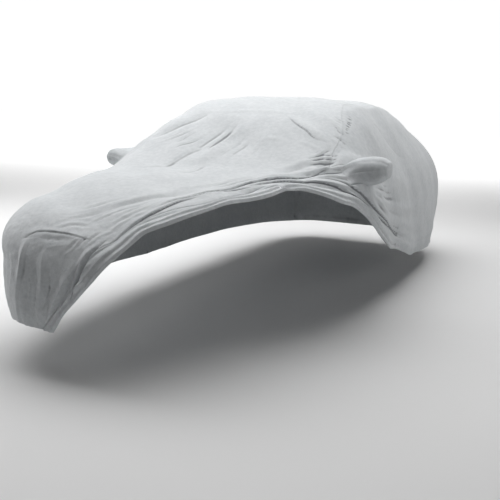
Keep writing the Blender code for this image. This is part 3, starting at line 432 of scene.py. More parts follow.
creases = [
    # Towards the left pocket
    (-11, 11, (64, -162, 103), (73, -150, 104), (79, -141, 104), (86, -130, 103)),
    # Down the left side along the lifted edge
    (-5, 8, (83, -160, 93), (91, -145, 86), (94, -122, 76), (95, -95, 65)),
    # Upper part of the left side
    (-5, 10, (66, -37, 139), (70, -32, 134), (75, -25, 127), (79, -14, 119), (82, -3, 113), (85, 6, 109),
        (87, 19, 105)),
    # Front end
    (10, 16, (-43, -292, 71), (-42, -296, 66), (-42, -298, 60), (-42, -299, 53), (-44, -298, 44),
        (-45, -297, 36), (-47, -295, 26)),
    (5.5, 9, (-36.3, -296, 68), (-35.2, -299, 60), (-34.8, -300, 51), (-37.4, -300, 40), (-42, -297, 27)),
    (7.5, 10, (-30, -297, 68), (-28, -299, 61), (-26.8, -301, 52), (-28.2, -301, 42), (-30.3, -300, 32),
        (-31.7, -299, 25)),
    (2.2, 9, (-40, -295, 67), (-36.6, -294.4, 69), (-30.8, -295.5, 68.2), (-22.9, -295.3, 69.1),
        (-15.5, -294.5, 70.3), (-9, -294, 71)),
    (12, 12, (-0.4, -294, 71), (-3, -295, 70), (-5.3, -298.7, 64), (-7.7, -300, 59), (-12.9, -301, 52),
        (-16.6, -301, 45.5), (-19.2, -301, 41.5), (-23.4, -301, 34.5), (-28.1, -300, 26.5)),
]
laps = [
    # Front stretch, from the front end back to the left pocket
    (11, 12, (9, -290, 75), (11, -282, 80), (15, -270, 85), (19, -260, 88), (24, -248, 92), (30, -236, 94)),
    (14, 11, (20, -242, 93), (27, -231, 95), (35, -215, 97), (42, -197, 99), (51, -179, 101),
        (62, -165, 102), (67, -158, 103), (72, -145, 106)),
    (7.5, 10, (15, -262, 88), (22, -246, 92), (33, -225, 96), (41, -214, 97), (51, -200, 98)),
    (14, 11, (44, -208, 98), (52, -190, 99), (58, -182, 100), (65, -173, 100), (72, -166, 100),
        (79, -159, 98), (86, -149, 94), (91, -136, 89)),
    # Front slope
    (4.5, 14, (25, -93, 137), (36, -104, 132), (46, -111, 128), (54, -117, 124), (61, -118, 122),
        (66, -119, 120)),
    # Down the left side along the lifted edge
    (14, 12, (71, -160, 101), (79, -150, 100), (84, -145, 98), (89, -137, 94), (93, -115, 84),
        (95, -99, 77), (95, -76, 68), (95, -52, 59), (95, -24, 51), (95, 0, 46)),
    (12, 11, (76, -161, 99), (83, -152, 96), (89, -143, 92), (92, -131, 87), (94, -112, 79), (95, -85, 69),
        (95, -59, 60), (95, -29, 50), (95, -5, 43)),
    # Front end
    (6, 10, (-44, -290, 70), (-40, -289.5, 73.8), (-34, -288.9, 74.8), (-24, -289.5, 74.9),
        (-16, -290, 74.7), (-8, -290.8, 74.1), (-3, -291, 74)),
    (16, 11, (4.5, -290, 74.5), (1.4, -295.5, 69), (-0.7, -298.5, 64.5), (-1.7, -300, 61), (-3.7, -301, 56),
        (-5.8, -301, 51), (-9, -301, 44)),
]
fans = [
    # count, height and width in mm, seed, first route and last route in cm
    (9, 2.2, 12, 11, ((-28, -280, 81), (-8, -262, 88), (12, -236, 94)),
        ((6, -290, 75), (13, -270, 85), (24, -242, 93))),
    (8, 2.4, 12, 12, ((12, -234, 94), (28, -202, 99), (52, -166, 103)),
        ((20, -240, 93), (38, -202, 98), (62, -168, 102))),
    (6, 4, 10, 13, ((56, -140, 111), (64, -132, 113), (74, -124, 113)),
        ((60, -162, 104), (70, -152, 105), (80, -138, 104))),
    (8, 2.2, 14, 14, ((-62, -136, 112), (-46, -126, 119), (-34, -106, 130)),
        ((16, -172, 104), (18, -146, 112), (20, -122, 122))),
    (12, 1.8, 9, 24, ((57, -70, 142), (61, -66, 141), (65, -62, 138)),
        ((68, -104, 125), (72, -100, 124), (77, -96, 120))),
    (6, 3, 10, 15, ((50, -78, 141), (60, -84, 136), (68, -90, 129)),
        ((60, -114, 124), (68, -114, 120), (76, -114, 114))),
    (7, 2, 10, 16, ((14, -288, 76), (24, -266, 85), (40, -234, 93)),
        ((20, -284, 77), (32, -258, 86), (50, -222, 94))),
    (9, 2.8, 9, 17, ((2, -298, 65), (-6, -301, 52), (-18, -301, 38)),
        ((12, -296, 68), (2, -300, 57), (-14, -301, 38))),
    (6, 2, 10, 18, ((-26, -301, 62), (-25, -301, 48), (-29, -301, 32)),
        ((-10, -300, 64), (-16, -301, 50), (-24, -301, 36))),
    (6, 1.8, 14, 19, ((-46, -292, 70), (-46, -296, 50), (-49, -294, 30)),
        ((-72, -276, 70), (-74, -276, 50), (-74, -274, 30))),
    (7, 3, 13, 21, ((92, -106, 96), (94, -80, 92), (94, -44, 90)),
        ((93, -114, 88), (95, -84, 72), (95, -44, 62))),
    (7, 1.3, 24, 22, ((95, -10, 92), (95, 6, 66), (95, 10, 40)),
        ((93, 120, 90), (93, 124, 60), (92, 120, 36))),
    (6, 1.3, 22, 23, ((66, -30, 138), (76, -16, 124), (88, 10, 104)),
        ((64, 90, 132), (76, 106, 116), (86, 124, 98))),
    (9, 3.2, 26, 31, ((-64, -70, 138), (-78, -86, 114), (-92, -98, 90)),
        ((-90, -156, 96), (-93, -130, 74), (-95, -90, 46))),
    (7, 4, 26, 32, ((-82, -170, 98), (-88, -176, 70), (-89, -180, 40)),
        ((-74, -266, 82), (-76, -262, 56), (-76, -260, 34))),
    (9, 4.4, 26, 33, ((-74, -20, 126), (-92, -10, 90), (-95, -10, 46)),
        ((-78, 140, 114), (-90, 146, 80), (-90, 144, 44))),
    (8, 3.6, 28, 34, ((-52, 96, 142), (-40, 130, 130), (-24, 160, 122)),
        ((54, 96, 142), (42, 130, 130), (26, 160, 122))),
    (10, 4.4, 24, 35, ((-68, 210, 96), (-68, 220, 62), (-66, 216, 30)),
        ((68, 210, 96), (68, 220, 62), (66, 216, 30))),
    (6, 2.4, 32, 36, ((-50, -60, 147), (-10, -66, 147), (40, -60, 146)),
        ((-48, 70, 147), (-6, 76, 147), (42, 70, 146))),
]
# How far folds stray from their places and wander on their way, in wide fans and in others
fanForm = {"looseFrom": 0.020, "loose": (3, 2.5), "close": (1, 0.7), "stray": 0.35, "start": (0, 0.3),
           "end": (0.65, 1.0), "outwards": 0.6, "height": (0.6, 1.4), "width": (0.8, 1.5)}


def fanFolds():
    laid = []
    for count, height, width, seed, first, last in fans:
        height, width, first, last = height / 1000, width / 1000, np.array(first) / 100, np.array(last) / 100
        random = np.random.default_rng(seed)
        stray, wander = fanForm["loose" if width >= fanForm["looseFrom"] else "close"]
        for k in range(count):
            place = k + random.uniform(-fanForm["stray"], fanForm["stray"]) * stray
            route = blend(first, last, np.clip(place / (count - 1), 0, 1))
            ends = random.uniform(*fanForm["start"]), random.uniform(*fanForm["end"])
            knots = np.linspace(0, 1, len(route))
            picked = np.stack([np.interp(np.linspace(*ends, 4), knots, column) for column in route.T], axis=1)
            picked[1:3] += random.normal(0, width * wander, (2, 3))
            sign = 1 if random.random() < fanForm["outwards"] else -1
            laid.append(("crest", sign * height * random.uniform(*fanForm["height"]),
                         width * random.uniform(*fanForm["width"]), picked))
    return laid


def madeFold(kind, height, width, points):
    line, lengths = foldLine(points)
    tangents = unit(np.gradient(line, axis=0))
    return kind, height, width, line, lengths, tangents, np.cross(formNormal(line), tangents)


mainLines = [madeFold("soft", cloth["foldDepth"] * (height / 1000), width / 1000, laidRoute(zone, route))
             for zone, folds in mainFolds.items() for height, width, *route in folds]
fineRoutes = [(kind, height / 1000, width / 1000, np.array(route) / 100)
              for kind, folds in (("crest", crests), ("crease", creases), ("lap", laps))
              for height, width, *route in folds]
fineLines = [madeFold(*form, castFromSpine(route)) for *form, route in fineRoutes + fanFolds()]
print("folds laid:", len(mainLines), "main and", len(fineLines), "fine")


def foldShape(kind, distance, signed, width):
    bell = np.exp(-(distance / width) ** 2)
    if kind == "soft":
        return bell
    if kind == "crest":
        return bell - foldForm["crestHollow"] * np.exp(-((distance - 2 * width) / width) ** 2)
    if kind == "crease":
        return np.exp(-distance / width)
    step = 0.5 + 0.5 * np.tanh(signed / (foldForm["lapStep"] * width))
    return (foldForm["lapRise"] * step * np.exp(-np.maximum(signed, 0) / (foldForm["lapRun"] * width))
            - foldForm["lapDrop"] * (1 - step) * np.exp(np.minimum(signed, 0) / width))


def foldOffset(flat, fold):
    kind, height, width, line, lengths, tangents, leftwards = fold
    reach = foldForm["reach"][kind] * width
    inReach = (flat > line.min(axis=0) - reach) & (flat < line.max(axis=0) + reach)
    some = np.flatnonzero(inReach.all(axis=1))
    near = flat[some]
    squares = (near**2).sum(axis=1)[:, None] + (line**2).sum(axis=1)[None, :] - 2 * near @ line.T
    nearest = squares.argmin(axis=1)
    away = near - line[nearest]
    ahead = (away * tangents[nearest]).sum(axis=1)
    distance = np.linalg.norm(away, axis=1)
    beyond = ((nearest == 0) & (ahead < 0)) | ((nearest == len(line) - 1) & (ahead > 0))
    distance = np.where(beyond, distance, np.sqrt(np.maximum(distance**2 - ahead**2, 0)))
    share = np.clip((lengths[nearest] + ahead) / lengths[-1], 0, 1)
    signed = distance * np.sign((away * leftwards[nearest]).sum(axis=1))
    fade = np.sin(np.pi * share) ** foldForm["endPower"]
    return some, height * fade * foldShape(kind, distance, signed, width)


def foldedOffset(points, lines):
    flat = points.reshape(-1, 3)
    offset = np.zeros(len(flat))
    for fold in lines:
        some, heights = foldOffset(flat, fold)
        offset[some] += heights
    return offset.reshape(points.shape[:-1])


def mainOffset(points):
    offset = foldedOffset(points, mainLines)
    for height, *lengths, phase in swells:
        offset += height * np.sin(points @ (2 * np.pi / np.array(lengths)) + phase)
    tuck = np.clip((cloth["tuckHeight"] - points[..., 2]) / cloth["tuckRun"], 0, 1)
    return offset - cloth["tuckDepth"] * tuck**2


def latticeNoise(points, seed, size=64):
    lattice = np.random.default_rng(seed).uniform(-1, 1, (size, size, size))
    base = np.floor(points).astype(int)
    t = points - base
    t = t * t * (3 - 2 * t)
    total = 0
    for corner in np.ndindex(2, 2, 2):
        weight = np.where(corner, t, 1 - t).prod(axis=-1)
        i, j, k = np.moveaxis((base + corner) % size, -1, 0)
        total = total + weight * lattice[i, j, k]
    return total


def unevenness(points):
    shifts = [latticeNoise(points / bending["size"] + bending["apart"] * k, bending["seed"] + k)
              for k in range(3)]
    bent = points + bending["amount"] * np.stack(shifts, axis=-1)
    crumpled = smoothStep(bending["from"], bending["to"], points[..., 1])
    return sum((height + added * crumpled) * latticeNoise(bent / size, seed)
               for seed, size, height, added in crumples)


crestPoint = cast(np.array((0.0, 0.0, cloth["spineHeight"])), np.array((0.0, 0.0, 1.0)))
ground = float(cloth["thickness"] - crestPoint[2] - mainOffset(crestPoint[None, :])[0])


def sidePoints(seam, hem, firstEdge, lastEdge, shares, run):
    across = blend(seam[:, None, :], hem[:, None, :], shares[:, :, None])
    run = run[:, None, None]
    startChange = (firstEdge - across[0])[None, :, :] * (1 - run) ** cloth["cornerPower"]
    endChange = (lastEdge - across[-1])[None, :, :] * run ** cloth["cornerPower"]
    points = castFromSpine(across + startChange + endChange)
    points[:, 0] = seam
    points[0] = firstEdge
    points[-1] = lastEdge
    return points


def columnShares(table, girth):
    upper, lower = (smoothColumn(table, k)(girth) for k in (1, 2))
    mouth = [blend(upper, lower, k / 3) for k in range(4)]
    below = [blend(lower, 1.0, share) for share in lowerShares]
    knots = np.stack([0 * upper, *mouth, *below], axis=1)
    return np.stack([np.interp(sideNumbers, np.arange(sideRows + 1), row) for row in knots])


def pleatOffset(points, girth, shares):
    apart = np.linalg.norm(points - points[:, -1:, :], axis=2)
    strength = smoothColumn(pleatStrength, 1)(girth)[:, None]
    return smoothColumn(pleat, 1)(apart) * strength * smoothStep(0, cloth["pleatFadeIn"], shares)


class Signal:
    def __init__(self, shader, socket):
        self.shader, self.socket = shader, socket

    def combine(self, operation, *values):
        node = self.shader.tree.nodes.new("ShaderNodeMath")
        node.operation = operation
        for socket, value in zip(node.inputs, (self, *values)):
            self.shader.feed(socket, value)
        return Signal(self.shader, node.outputs[0])

    __add__ = __radd__ = partialmethod(combine, "ADD")
    __mul__ = __rmul__ = partialmethod(combine, "MULTIPLY")
    __sub__ = partialmethod(combine, "SUBTRACT")
    __truediv__ = partialmethod(combine, "DIVIDE")
    __abs__ = partialmethod(combine, "ABSOLUTE")

    def __rsub__(self, other):
        return self * -1.0 + other

    def between(self, low, high):
        return self.shader.node("MapRange", 0, {"Value": self, "From Min": low, "From Max": high},
                                interpolation_type="SMOOTHSTEP")


class Shader:
    def __init__(self, owner, surface="Principled BSDF"):
        self.owner = owner
        self.owner.use_nodes = True
        self.tree = self.owner.node_tree
        self.surface = self.tree.nodes[surface]

    def feed(self, socket, value):
        if isinstance(value, Signal):
            self.tree.links.new(value.socket, socket)
        else:
            socket.default_value = value

    def setSurface(self, values):
        for key, value in values.items():
            self.feed(self.surface.inputs[key], value)

    def node(self, kind, output, inputs=None, **settings):
        node = self.tree.nodes.new("ShaderNode" + kind)
        for key, value in settings.items():
            setattr(node, key, value)
        for key, value in (inputs or {}).items():
            self.feed(node.inputs[key], value)
        return Signal(self, node.outputs[output])

    def mix(self, share, first, second):
        return self.node("Mix", 2, {0: share, 6: first, 7: second}, data_type="RGBA")


# The three are one cloth: the top is painted a little lighter and the side and the pockets a little darker,
# as painted light and shade
clothLooks = {
    # light colour, dark colour, and the colour of the painted shade in hollows and low down, which also
    # darkens the seams and stitches
    "topCloth": ((0.66, 0.68, 0.695, 1), (0.55, 0.575, 0.59, 1), (0.15, 0.16, 0.17, 1)),
    "sideCloth": ((0.64, 0.66, 0.675, 1), (0.53, 0.555, 0.57, 1), (0.14, 0.15, 0.16, 1)),
    "pocketCloth": ((0.62, 0.64, 0.655, 1), (0.51, 0.535, 0.55, 1), (0.14, 0.15, 0.16, 1)),
}
# scale, detail, roughness and distortion of the fibre, mottle, cloud and crumple patterns
clothNoises = ((420.0, 3.0, 0.7, 0.0), (34.0, 5.0, 0.62, 0.0), (5.5, 4.0, 0.55, 0.0), (62.0, 4.0, 0.6, 0.6))
stitching = {"length": 0.0085, "fromSeam": 0.0075, "seamEdge": (0.0004, 0.0016),
             "fromHem": 0.021, "hemEdge": (0.0004, 0.0018), "seamLine": (0.0006, 0.0030)}
# Tint: cavity and low are painted shade, in creases and hollows and towards the bottom; seam and stitches
# darken the seam's own line and its stitches
tint = {"mottle": 1.7, "cloud": 0.9, "fibre": 0.6, "cavity": 0.80, "seam": 0.06, "stitches": 0.12,
        "low": 0.13, "crumpled": 0.42, "lowFrom": 0.15, "lowTo": 0.85, "cavityRange": (0.09, 0.70)}
relief = {"fibre": 0.30, "mottle": 0.35, "crumple": 0.35, "crumpled": 1.3, "stitches": 0.6, "seam": 0.5}


def clothMaterial(name):
    light, dark, shadeAndSeamColour = clothLooks[name]
    shader = Shader(bpy.data.materials.new(name))
    place = shader.node("TexCoord", "Object")
    fibre, mottle, cloud, crumple = (
        shader.node("TexNoise", "Fac", {"Vector": place, "Scale": scale, "Detail": detail,
                                        "Roughness": roughness, "Distortion": distortion})
        for scale, detail, roughness, distortion in clothNoises)
    cavity, seam, hem, girth, crumpled = (
        shader.node("Attribute", "Fac", attribute_name=key)
        for key in ("cavity", "seamDistance", "hemDistance", "girth", "crumpled"))
    up = shader.node("SeparateXYZ", "Z", {"Vector": place})
    # painted shade: the cloth is darker towards the bottom, from lowTo down to lowFrom above the ground
    low = 1 - up.between(ground + tint["lowFrom"], ground + tint["lowTo"])
    lightness = (0.50 + (mottle - 0.5) * tint["mottle"] + (cloud - 0.5) * tint["cloud"]
                 + (fibre - 0.5) * tint["fibre"]).between(0.0, 1.0)
    dash = (girth * 2 * math.pi / stitching["length"]).combine("SINE").between(-0.3, 0.3)
    seamStitch = (1 - abs(seam - stitching["fromSeam"]).between(*stitching["seamEdge"])) * dash
    hemStitch = (1 - abs(hem - stitching["fromHem"]).between(*stitching["hemEdge"])) * dash
    stitches = seamStitch + hemStitch
    seamLine = 1 - seam.between(*stitching["seamLine"])
    # painted shade in creases and hollows (cavity) and towards the bottom (low), together with the seam's
    # dark line, its stitches and the crumpled cloth's mottle
    shade = (cavity.between(*tint["cavityRange"]) * tint["cavity"] + seamLine * tint["seam"]
             + stitches * tint["stitches"] + low * tint["low"]
             + (crumple - 0.5) * crumpled * tint["crumpled"])
    height = (fibre * relief["fibre"] + mottle * relief["mottle"]
              + crumple * (relief["crumple"] + crumpled * relief["crumpled"])
              + stitches * relief["stitches"] - seamLine * relief["seam"])
    shader.setSurface({
        "Base Color": shader.mix(shade, shader.mix(lightness, dark, light), shadeAndSeamColour),
        "Roughness": 0.80 + (mottle - 0.5) * 0.16,
        "Normal": shader.node("Bump", "Normal", {"Height": height, "Strength": 0.60, "Distance": 0.0022}),
        "Specular IOR Level": 0.32, "Sheen Weight": 0.18, "Sheen Roughness": 0.55})
    return shader.owner


def gridFaces(rowCount, columnCount, flipped, hole=None):
    i, j = np.meshgrid(np.arange(rowCount), np.arange(columnCount), indexing="ij")
    if hole is not None:
        keep = ~((i >= hole[0]) & (i < hole[1]) & (j >= hole[2]) & (j < hole[3]))
        i, j = i[keep], j[keep]
    a = (i * (columnCount + 1) + j).ravel()
    b = a + columnCount + 1
    return np.stack([a, a + 1, b + 1, b] if flipped else [a, b, b + 1, a + 1], axis=1)


def loopAround(first, last, top, bottom, step=1):
    return np.array([(i, top) for i in range(first, last, step)]
                    + [(last, j) for j in range(top, bottom, step)]
                    + [(i, bottom) for i in range(last, first, -step)]
                    + [(first, j) for j in range(bottom, top, -step)])


def rimFaces(outerLoop, innerLoop, flipped):
    # the inner skin has one edge where the outer one has three
    faces = []
    for k, start in enumerate(innerLoop):
        end = innerLoop[(k + 1) % len(innerLoop)]
        a, b, c, d = (outerLoop[(innerStep * k + m) % len(outerLoop)] for m in range(4))
        faces += [(b, a, start), (c, b, start, end), (d, c, end)]
    return [face[::-1] for face in faces] if flipped else faces


def lowestNear(heights):
    for axis in (0, 1):
        padding = [(innerStep, innerStep) if axis == k else (0, 0) for k in (0, 1)]
        padded = np.pad(heights, padding, mode="edge")
        windows = np.lib.stride_tricks.sliding_window_view(padded, 2 * innerStep + 1, axis=axis)
        heights = windows.min(axis=-1)
    return heights


def cavityOf(heights, cell=0.0):
    # how far each point lies below its neighbours, as a share of the cavity depth, less where cells are long;
    # the cloth material paints shade there
    padded = np.pad(heights, 2, mode="edge")
    around = sum(np.roll(padded, shift, axis)[2:-2, 2:-2] for axis in (0, 1) for shift in (-2, 2)) / 4
    fine = np.minimum(cloth["cavityCell"] / np.maximum(cell, cloth["cavityCell"]), 1)
    return np.clip((around - heights) / cloth["cavityDepth"], 0, 1) * fine


def clothObject(name, points, faces, attributes, material):
    used = np.unique(np.concatenate([np.ravel(face) for face in faces]))
    renumber = np.full(len(points), -1)
    renumber[used] = np.arange(len(used))
    mesh = bpy.data.meshes.new(name)
    kept = [renumber[list(face)].tolist() for face in faces]
    mesh.from_pydata((points[used] + (0, 0, ground)).tolist(), [], kept)
    mesh.shade_smooth()
    mesh.set_sharp_from_angle(angle=math.radians(60))
    for key, values in attributes.items():
        attribute = mesh.attributes.new(key, "FLOAT", "POINT")
        attribute.data.foreach_set("value", values[used].astype(np.float32))
    mesh.materials.append(material)
    print(name, "triangles", sum(len(face) - 2 for face in kept))
    return placed(name, mesh)


def placed(name, data):
    made = bpy.data.objects.new(name, data)
    bpy.context.scene.collection.objects.link(made)
    return made


def borderEdges(faces):
    ahead = np.concatenate([faces[:, [k, (k + 1) % 4]] for k in range(4)])
    known = {(a, b) for a, b in ahead.tolist()}
    return np.array([(a, b) for a, b in known if (b, a) not in known])


def measuredArea(outer, faces):
    a, b, c, d = (outer[faces[:, k]] for k in range(4))
    return float(np.linalg.norm(np.cross(c - a, d - b), axis=1).sum() / 2)


def seamRelief(distance):
    # the seam's own valley with the folded allowance standing up beside it
    fold = smoothStep(*sewing["foldFrom"], distance) * (1 - smoothStep(*sewing["foldTo"], distance))
    return sewing["foldHeight"] * fold - sewing["seamDepth"] * np.exp(-(distance / sewing["seamWidth"]) ** 2)


def hemRelief(distance, along, seed, gather):
    # the hem's folded cloth, with the gathers its elastic draws
    gathers = 0
    for k, (length, width, offset, height, reach) in enumerate(sewing["gathers"]):
        places = np.stack([along / length, distance / width, 0 * along + offset], axis=-1)
        gathers = gathers + height * latticeNoise(places, seed + k) * np.exp(-(distance / reach) ** 2)
    return sewing["hemHeight"] * (1 - smoothStep(*sewing["hemTo"], distance)) + gather * gathers


def panel(name, base, extra, flipped, attributes, material, hole=None):
    normals = formNormal(base)
    heights = foldedOffset(base, fineLines) + mainOffset(base) + unevenness(base) + extra
    outer = base + normals * heights[..., None]
    coarse = (slice(None, None, innerStep), slice(None, None, innerStep))
    inner = base[coarse] + normals[coarse] * (lowestNear(heights)[coarse] - cloth["innerGap"])[..., None]
    rowCount, columnCount = outer.shape[0] - 1, outer.shape[1] - 1
    outerFaces = gridFaces(rowCount, columnCount, flipped, hole)
    coarseHole = None if hole is None else [k // innerStep for k in hole]
    innerFaces = gridFaces(rowCount // innerStep, columnCount // innerStep, not flipped, coarseHole)
    count = outer[..., 0].size
    borders = [((0, rowCount, 0, columnCount), flipped)] + ([] if hole is None else [(hole, not flipped)])
    rims = []
    for border, turned in borders:
        i, j = loopAround(*border).T
        outerLoop = i * (columnCount + 1) + j
        i, j = loopAround(*border, innerStep).T // innerStep
        innerLoop = count + i * (columnCount // innerStep + 1) + j
        rims += rimFaces(outerLoop.tolist(), innerLoop.tolist(), turned)
    crumpled = np.maximum(smoothStep(cloth["crumpledFrom"], cloth["crumpledTo"], base[..., 1]),
                          1 - smoothStep(*cloth["hemCrumple"], attributes["hemDistance"]))
    # the mask for the painted shade in the panel's creases and hollows
    cavity = cavityOf(heights, np.linalg.norm(np.gradient(base, axis=0), axis=2))
    values = {key: np.concatenate([value.ravel(), value[coarse].ravel()])
              for key, value in {"cavity": cavity, "crumpled": crumpled, **attributes}.items()}
    made = clothObject(name, np.vstack([outer.reshape(-1, 3), inner.reshape(-1, 3)]),
                       outerFaces.tolist() + (innerFaces + count).tolist() + rims, values, material)
    return made, measuredArea(outer.reshape(-1, 3), outerFaces), outer, normals


def travelled(points, axis):
    steps = np.linalg.norm(np.diff(points, axis=axis), axis=2)
    zero = np.zeros_like(np.take(steps, [0], axis=axis))
    return np.cumsum(np.concatenate([zero, steps], axis=axis), axis=axis)


topMaterial, sideMaterial, pocketMaterial = (clothMaterial(name) for name in clothLooks)

topPanel = {"name": "topPanelCloth", "flat": (1.67, 6.85), "gather": 0.6, "seed": 81}
leftX, rightX = (smoothColumn(table, 1)(rowValues(topNumbers, 3))[:, None] for table in (leftSeam, rightSeam))
topBase = topPoints(topNumbers, blend(rightX, leftX, topShares[None, :]))
across, along = travelled(topBase, 1), travelled(topBase, 0)
fromSeam = np.minimum(across, across[:, -1:] - across)
fromHem = np.minimum(along, along[-1:] - along)
topExtra = seamRelief(fromSeam) + hemRelief(fromHem, across, topPanel["seed"], topPanel["gather"])
topMeasures = {"seamDistance": fromSeam, "hemDistance": fromHem,
               "girth": np.where(fromSeam < fromHem, along, across)}
topPiece, topArea, *_ = panel(topPanel["name"], topBase, topExtra, True, topMeasures, topMaterial)
print("top panel made")


def mouthHole(base, numbers, ends):
    # the hole for the pocket: whole control rows whose middles lie nearest its two ends
    whole = np.flatnonzero(np.isclose(numbers, np.round(numbers)))
    columns = [int(np.flatnonzero(sideNumbers == k)[0]) for k in (1, 2, 3, 4)]
    middles = base[whole][:, columns, 1].mean(axis=1)
    front, rear = (int(whole[np.abs(middles - y).argmin()]) for y in ends)
    return front, rear, columns[0], columns[-1]


swell = {"length": 0.17, "height": 0.11, "flat": 0.7, "fade": 0.5, "seamFade": 0.07}


def sidePanel(settings, column, hem, shareTable, flipped):
    free = settings["freeFront"]
    firstNumber = 0 if free else noseCorner
    kept = (topNumbers >= firstNumber) & (topNumbers <= tailCorner)
    numbers = topNumbers[kept]
    girth = rowValues(numbers, 3)
    shares = columnShares(shareTable, girth)
    hemLine = castFromSpine(np.stack([smoothColumn(hem, k)(girth) for k in (1, 2, 3)], axis=1))
    hemLine[-1] = topBase[-1, column]
    if free:
        frontEdge = castFromSpine(blend(topBase[0, column], hemLine[0], shares[0][:, None]))
    else:
        hemLine[0] = topBase[0, column]
        frontEdge = topBase[topNumbers <= noseCorner, column][::-1]
    rearEdge = topBase[topNumbers >= tailCorner, column]
    run = (numbers - firstNumber) / (tailCorner - firstNumber)
    base = sidePoints(topBase[kept, column], hemLine, frontEdge, rearEdge, shares, run)
    hole = mouthHole(base, numbers, settings["mouth"])
    down, ahead = travelled(base, 1), travelled(base, 0)
    fromSeam = np.minimum(down, ahead[-1:] - ahead)
    fromHem = down[:, -1:] - down
    gather = settings["gather"]
    if free:
        fromHem = np.minimum(fromHem, ahead)
        start, end = settings["gatherRun"]
        gather = gather * blend(settings["frontGather"], 1.0, smoothStep(start, end, girth))[:, None]
    else:
        fromSeam = np.minimum(fromSeam, ahead)
    extra = seamRelief(fromSeam) + hemRelief(fromHem, ahead, settings["seed"], gather)
    if free:
        extra = extra + pleatOffset(base, girth, shares)
    # the swell round the pocket's mouth
    middle = base[(hole[0] + hole[1]) // 2, (hole[2] + hole[3]) // 2]
    apart = np.hypot((base[..., 1] - middle[1]) / swell["length"],
                     (base[..., 2] - middle[2]) / swell["height"])
    bulge = np.exp(-(np.maximum(apart - swell["flat"], 0) / swell["fade"]) ** 2)
    extra = extra + settings["swell"] * bulge * smoothStep(0, swell["seamFade"], fromSeam)
    measures = {"seamDistance": fromSeam, "hemDistance": fromHem, "girth": ahead}
    return *panel(settings["name"], base, extra, flipped, measures, sideMaterial, hole), hole


leftSide = {"name": "leftSidePanelCloth", "flat": (1.36, 6.04), "gather": 0.65, "seed": 83, "freeFront": True,
            "frontGather": 0.25, "gatherRun": (2.4, 3.4), "swell": 0.024, "mouth": (-1.38, -0.96)}
rightSide = {"name": "rightSidePanelCloth", "flat": (1.38, 5.08), "gather": 1.0, "seed": 87,
             "freeFront": False, "swell": 0.018, "mouth": (-1.38, -0.96)}
leftPiece, leftArea, *leftSurface = sidePanel(leftSide, -1, leftHem, leftShares, True)
rightPiece, rightArea, *rightSurface = sidePanel(rightSide, 0, rightHem, rightShares, False)
print("side panels made")


# Creases round and along a pocket: how many round, how many along, height; the first are the mouth's puckers
pocketCreases = ((3.4, 2.0, 0.0070), (1.6, 1.3, 0.0040), (4.6, 0.9, 0.0035))


def mirrorPocket(settings, surface, flipped):
    outer, normals, hole = surface
    first, last, top, bottom = hole
    i, j = loopAround(*hole).T
    square = np.stack([2 * (i - first) / (last - first) - 1, 2 * (j - top) / (bottom - top) - 1], axis=1)
    power = (np.abs(square) ** settings["power"]).sum(axis=1) ** (1 / settings["power"])
    rounded = square * (np.abs(square).max(axis=1) / power)[:, None]
    across, down = rounded.T
    turn = np.arctan2(down, across)
    ringCount, tipCount = settings["rings"], settings["tipRings"]
    depth = np.linspace(0, 1, ringCount)
    sections = np.array(settings["sections"])
    table = np.column_stack([np.linspace(0, 1, len(sections)), sections])
    body = np.stack([smoothColumn(table, k + 1)(depth) for k in range(5)], axis=1)
    angles = np.arange(1, tipCount + 1) / tipCount * math.pi / 2
    tip = np.tile(sections[-1], (tipCount, 1))
    tip[:, 0] += settings["outwards"] * settings["bulge"] * np.sin(angles)
    tip[:, 3:] *= np.append(np.cos(angles[:-1]), settings["tipShare"])[:, None]
    x, yMiddle, zMiddle, halfY, halfZ = np.vstack([body, tip]).T[:, :, None]
    rings = np.stack([x + 0 * turn, yMiddle + halfY * across, zMiddle - halfZ * down], axis=-1)
    # out of the panel's own slope into the bag: first along the panel, then outwards
    left = 1 - np.minimum(depth / settings["mouthShare"], 1)
    share = np.stack([(1 - left) ** 1.5, 1 - left**1.5, 1 - left**1.5], axis=1)[:, None, :]
    rings[:ringCount] = blend(outer[i, j], rings[:ringCount], share)
    deep = np.concatenate([depth, np.linspace(1, 1.25, tipCount + 1)[1:]])[:, None]
    pucker, fadeIn = np.exp(-((deep - 0.22) / 0.22) ** 2), smoothStep(0.02, 0.3, deep)
    height = 0
    for k, (around, along, amount) in enumerate(pocketCreases):
        places = np.broadcast_arrays(turn * around + 20, deep * along, 0.5)
        strength = amount * (fadeIn if k else pucker)
        height = height + strength * latticeNoise(np.stack(places, axis=-1), settings["seed"] + k)
    rings = rings + unit(rings - rings.mean(axis=1, keepdims=True), 1e-6) * height[..., None]
    ringCount, count = height.shape
    points = rings.reshape(-1, 3)
    r, k = np.meshgrid(np.arange(ringCount - 1), np.arange(count), indexing="ij")
    a = (r * count + k).ravel()
    b = (r * count + (k + 1) % count).ravel()
    faces = np.stack([a, a + count, b + count, b] if flipped else [a, b, b + count, a + count], axis=1)
    vertexNormals = np.zeros_like(points)
    crossed = np.cross(points[faces[:, 2]] - points[faces[:, 0]], points[faces[:, 3]] - points[faces[:, 1]])
    for column in range(4):
        np.add.at(vertexNormals, faces[:, column], crossed)
    vertexNormals[:count] = normals[i, j]
    inner = points - unit(vertexNormals, 1e-9) * cloth["thickness"]
    inner[-count:] = inner[-count:].mean(axis=0)
    border = borderEdges(faces)
    rim = np.concatenate([border[:, ::-1], border + len(points)], axis=1)
    away = np.repeat(np.arange(ringCount) * 0.004, count)
    # the pocket's creases get painted shade too, from their own cavity
    values = {"cavity": cavityOf(height).ravel(), "crumpled": away * 0 + 0.3,
              "seamDistance": away, "hemDistance": away * 0 + 1,
              "girth": np.tile(np.linspace(0, 0.7, count), ringCount)}
    made = clothObject(settings["name"], np.vstack([points, inner]),
                       np.vstack([faces, faces[:, ::-1] + len(points), rim]).tolist(),
                       {key: np.concatenate([value, value]) for key, value in values.items()}, pocketMaterial)
    return made, measuredArea(points, faces)


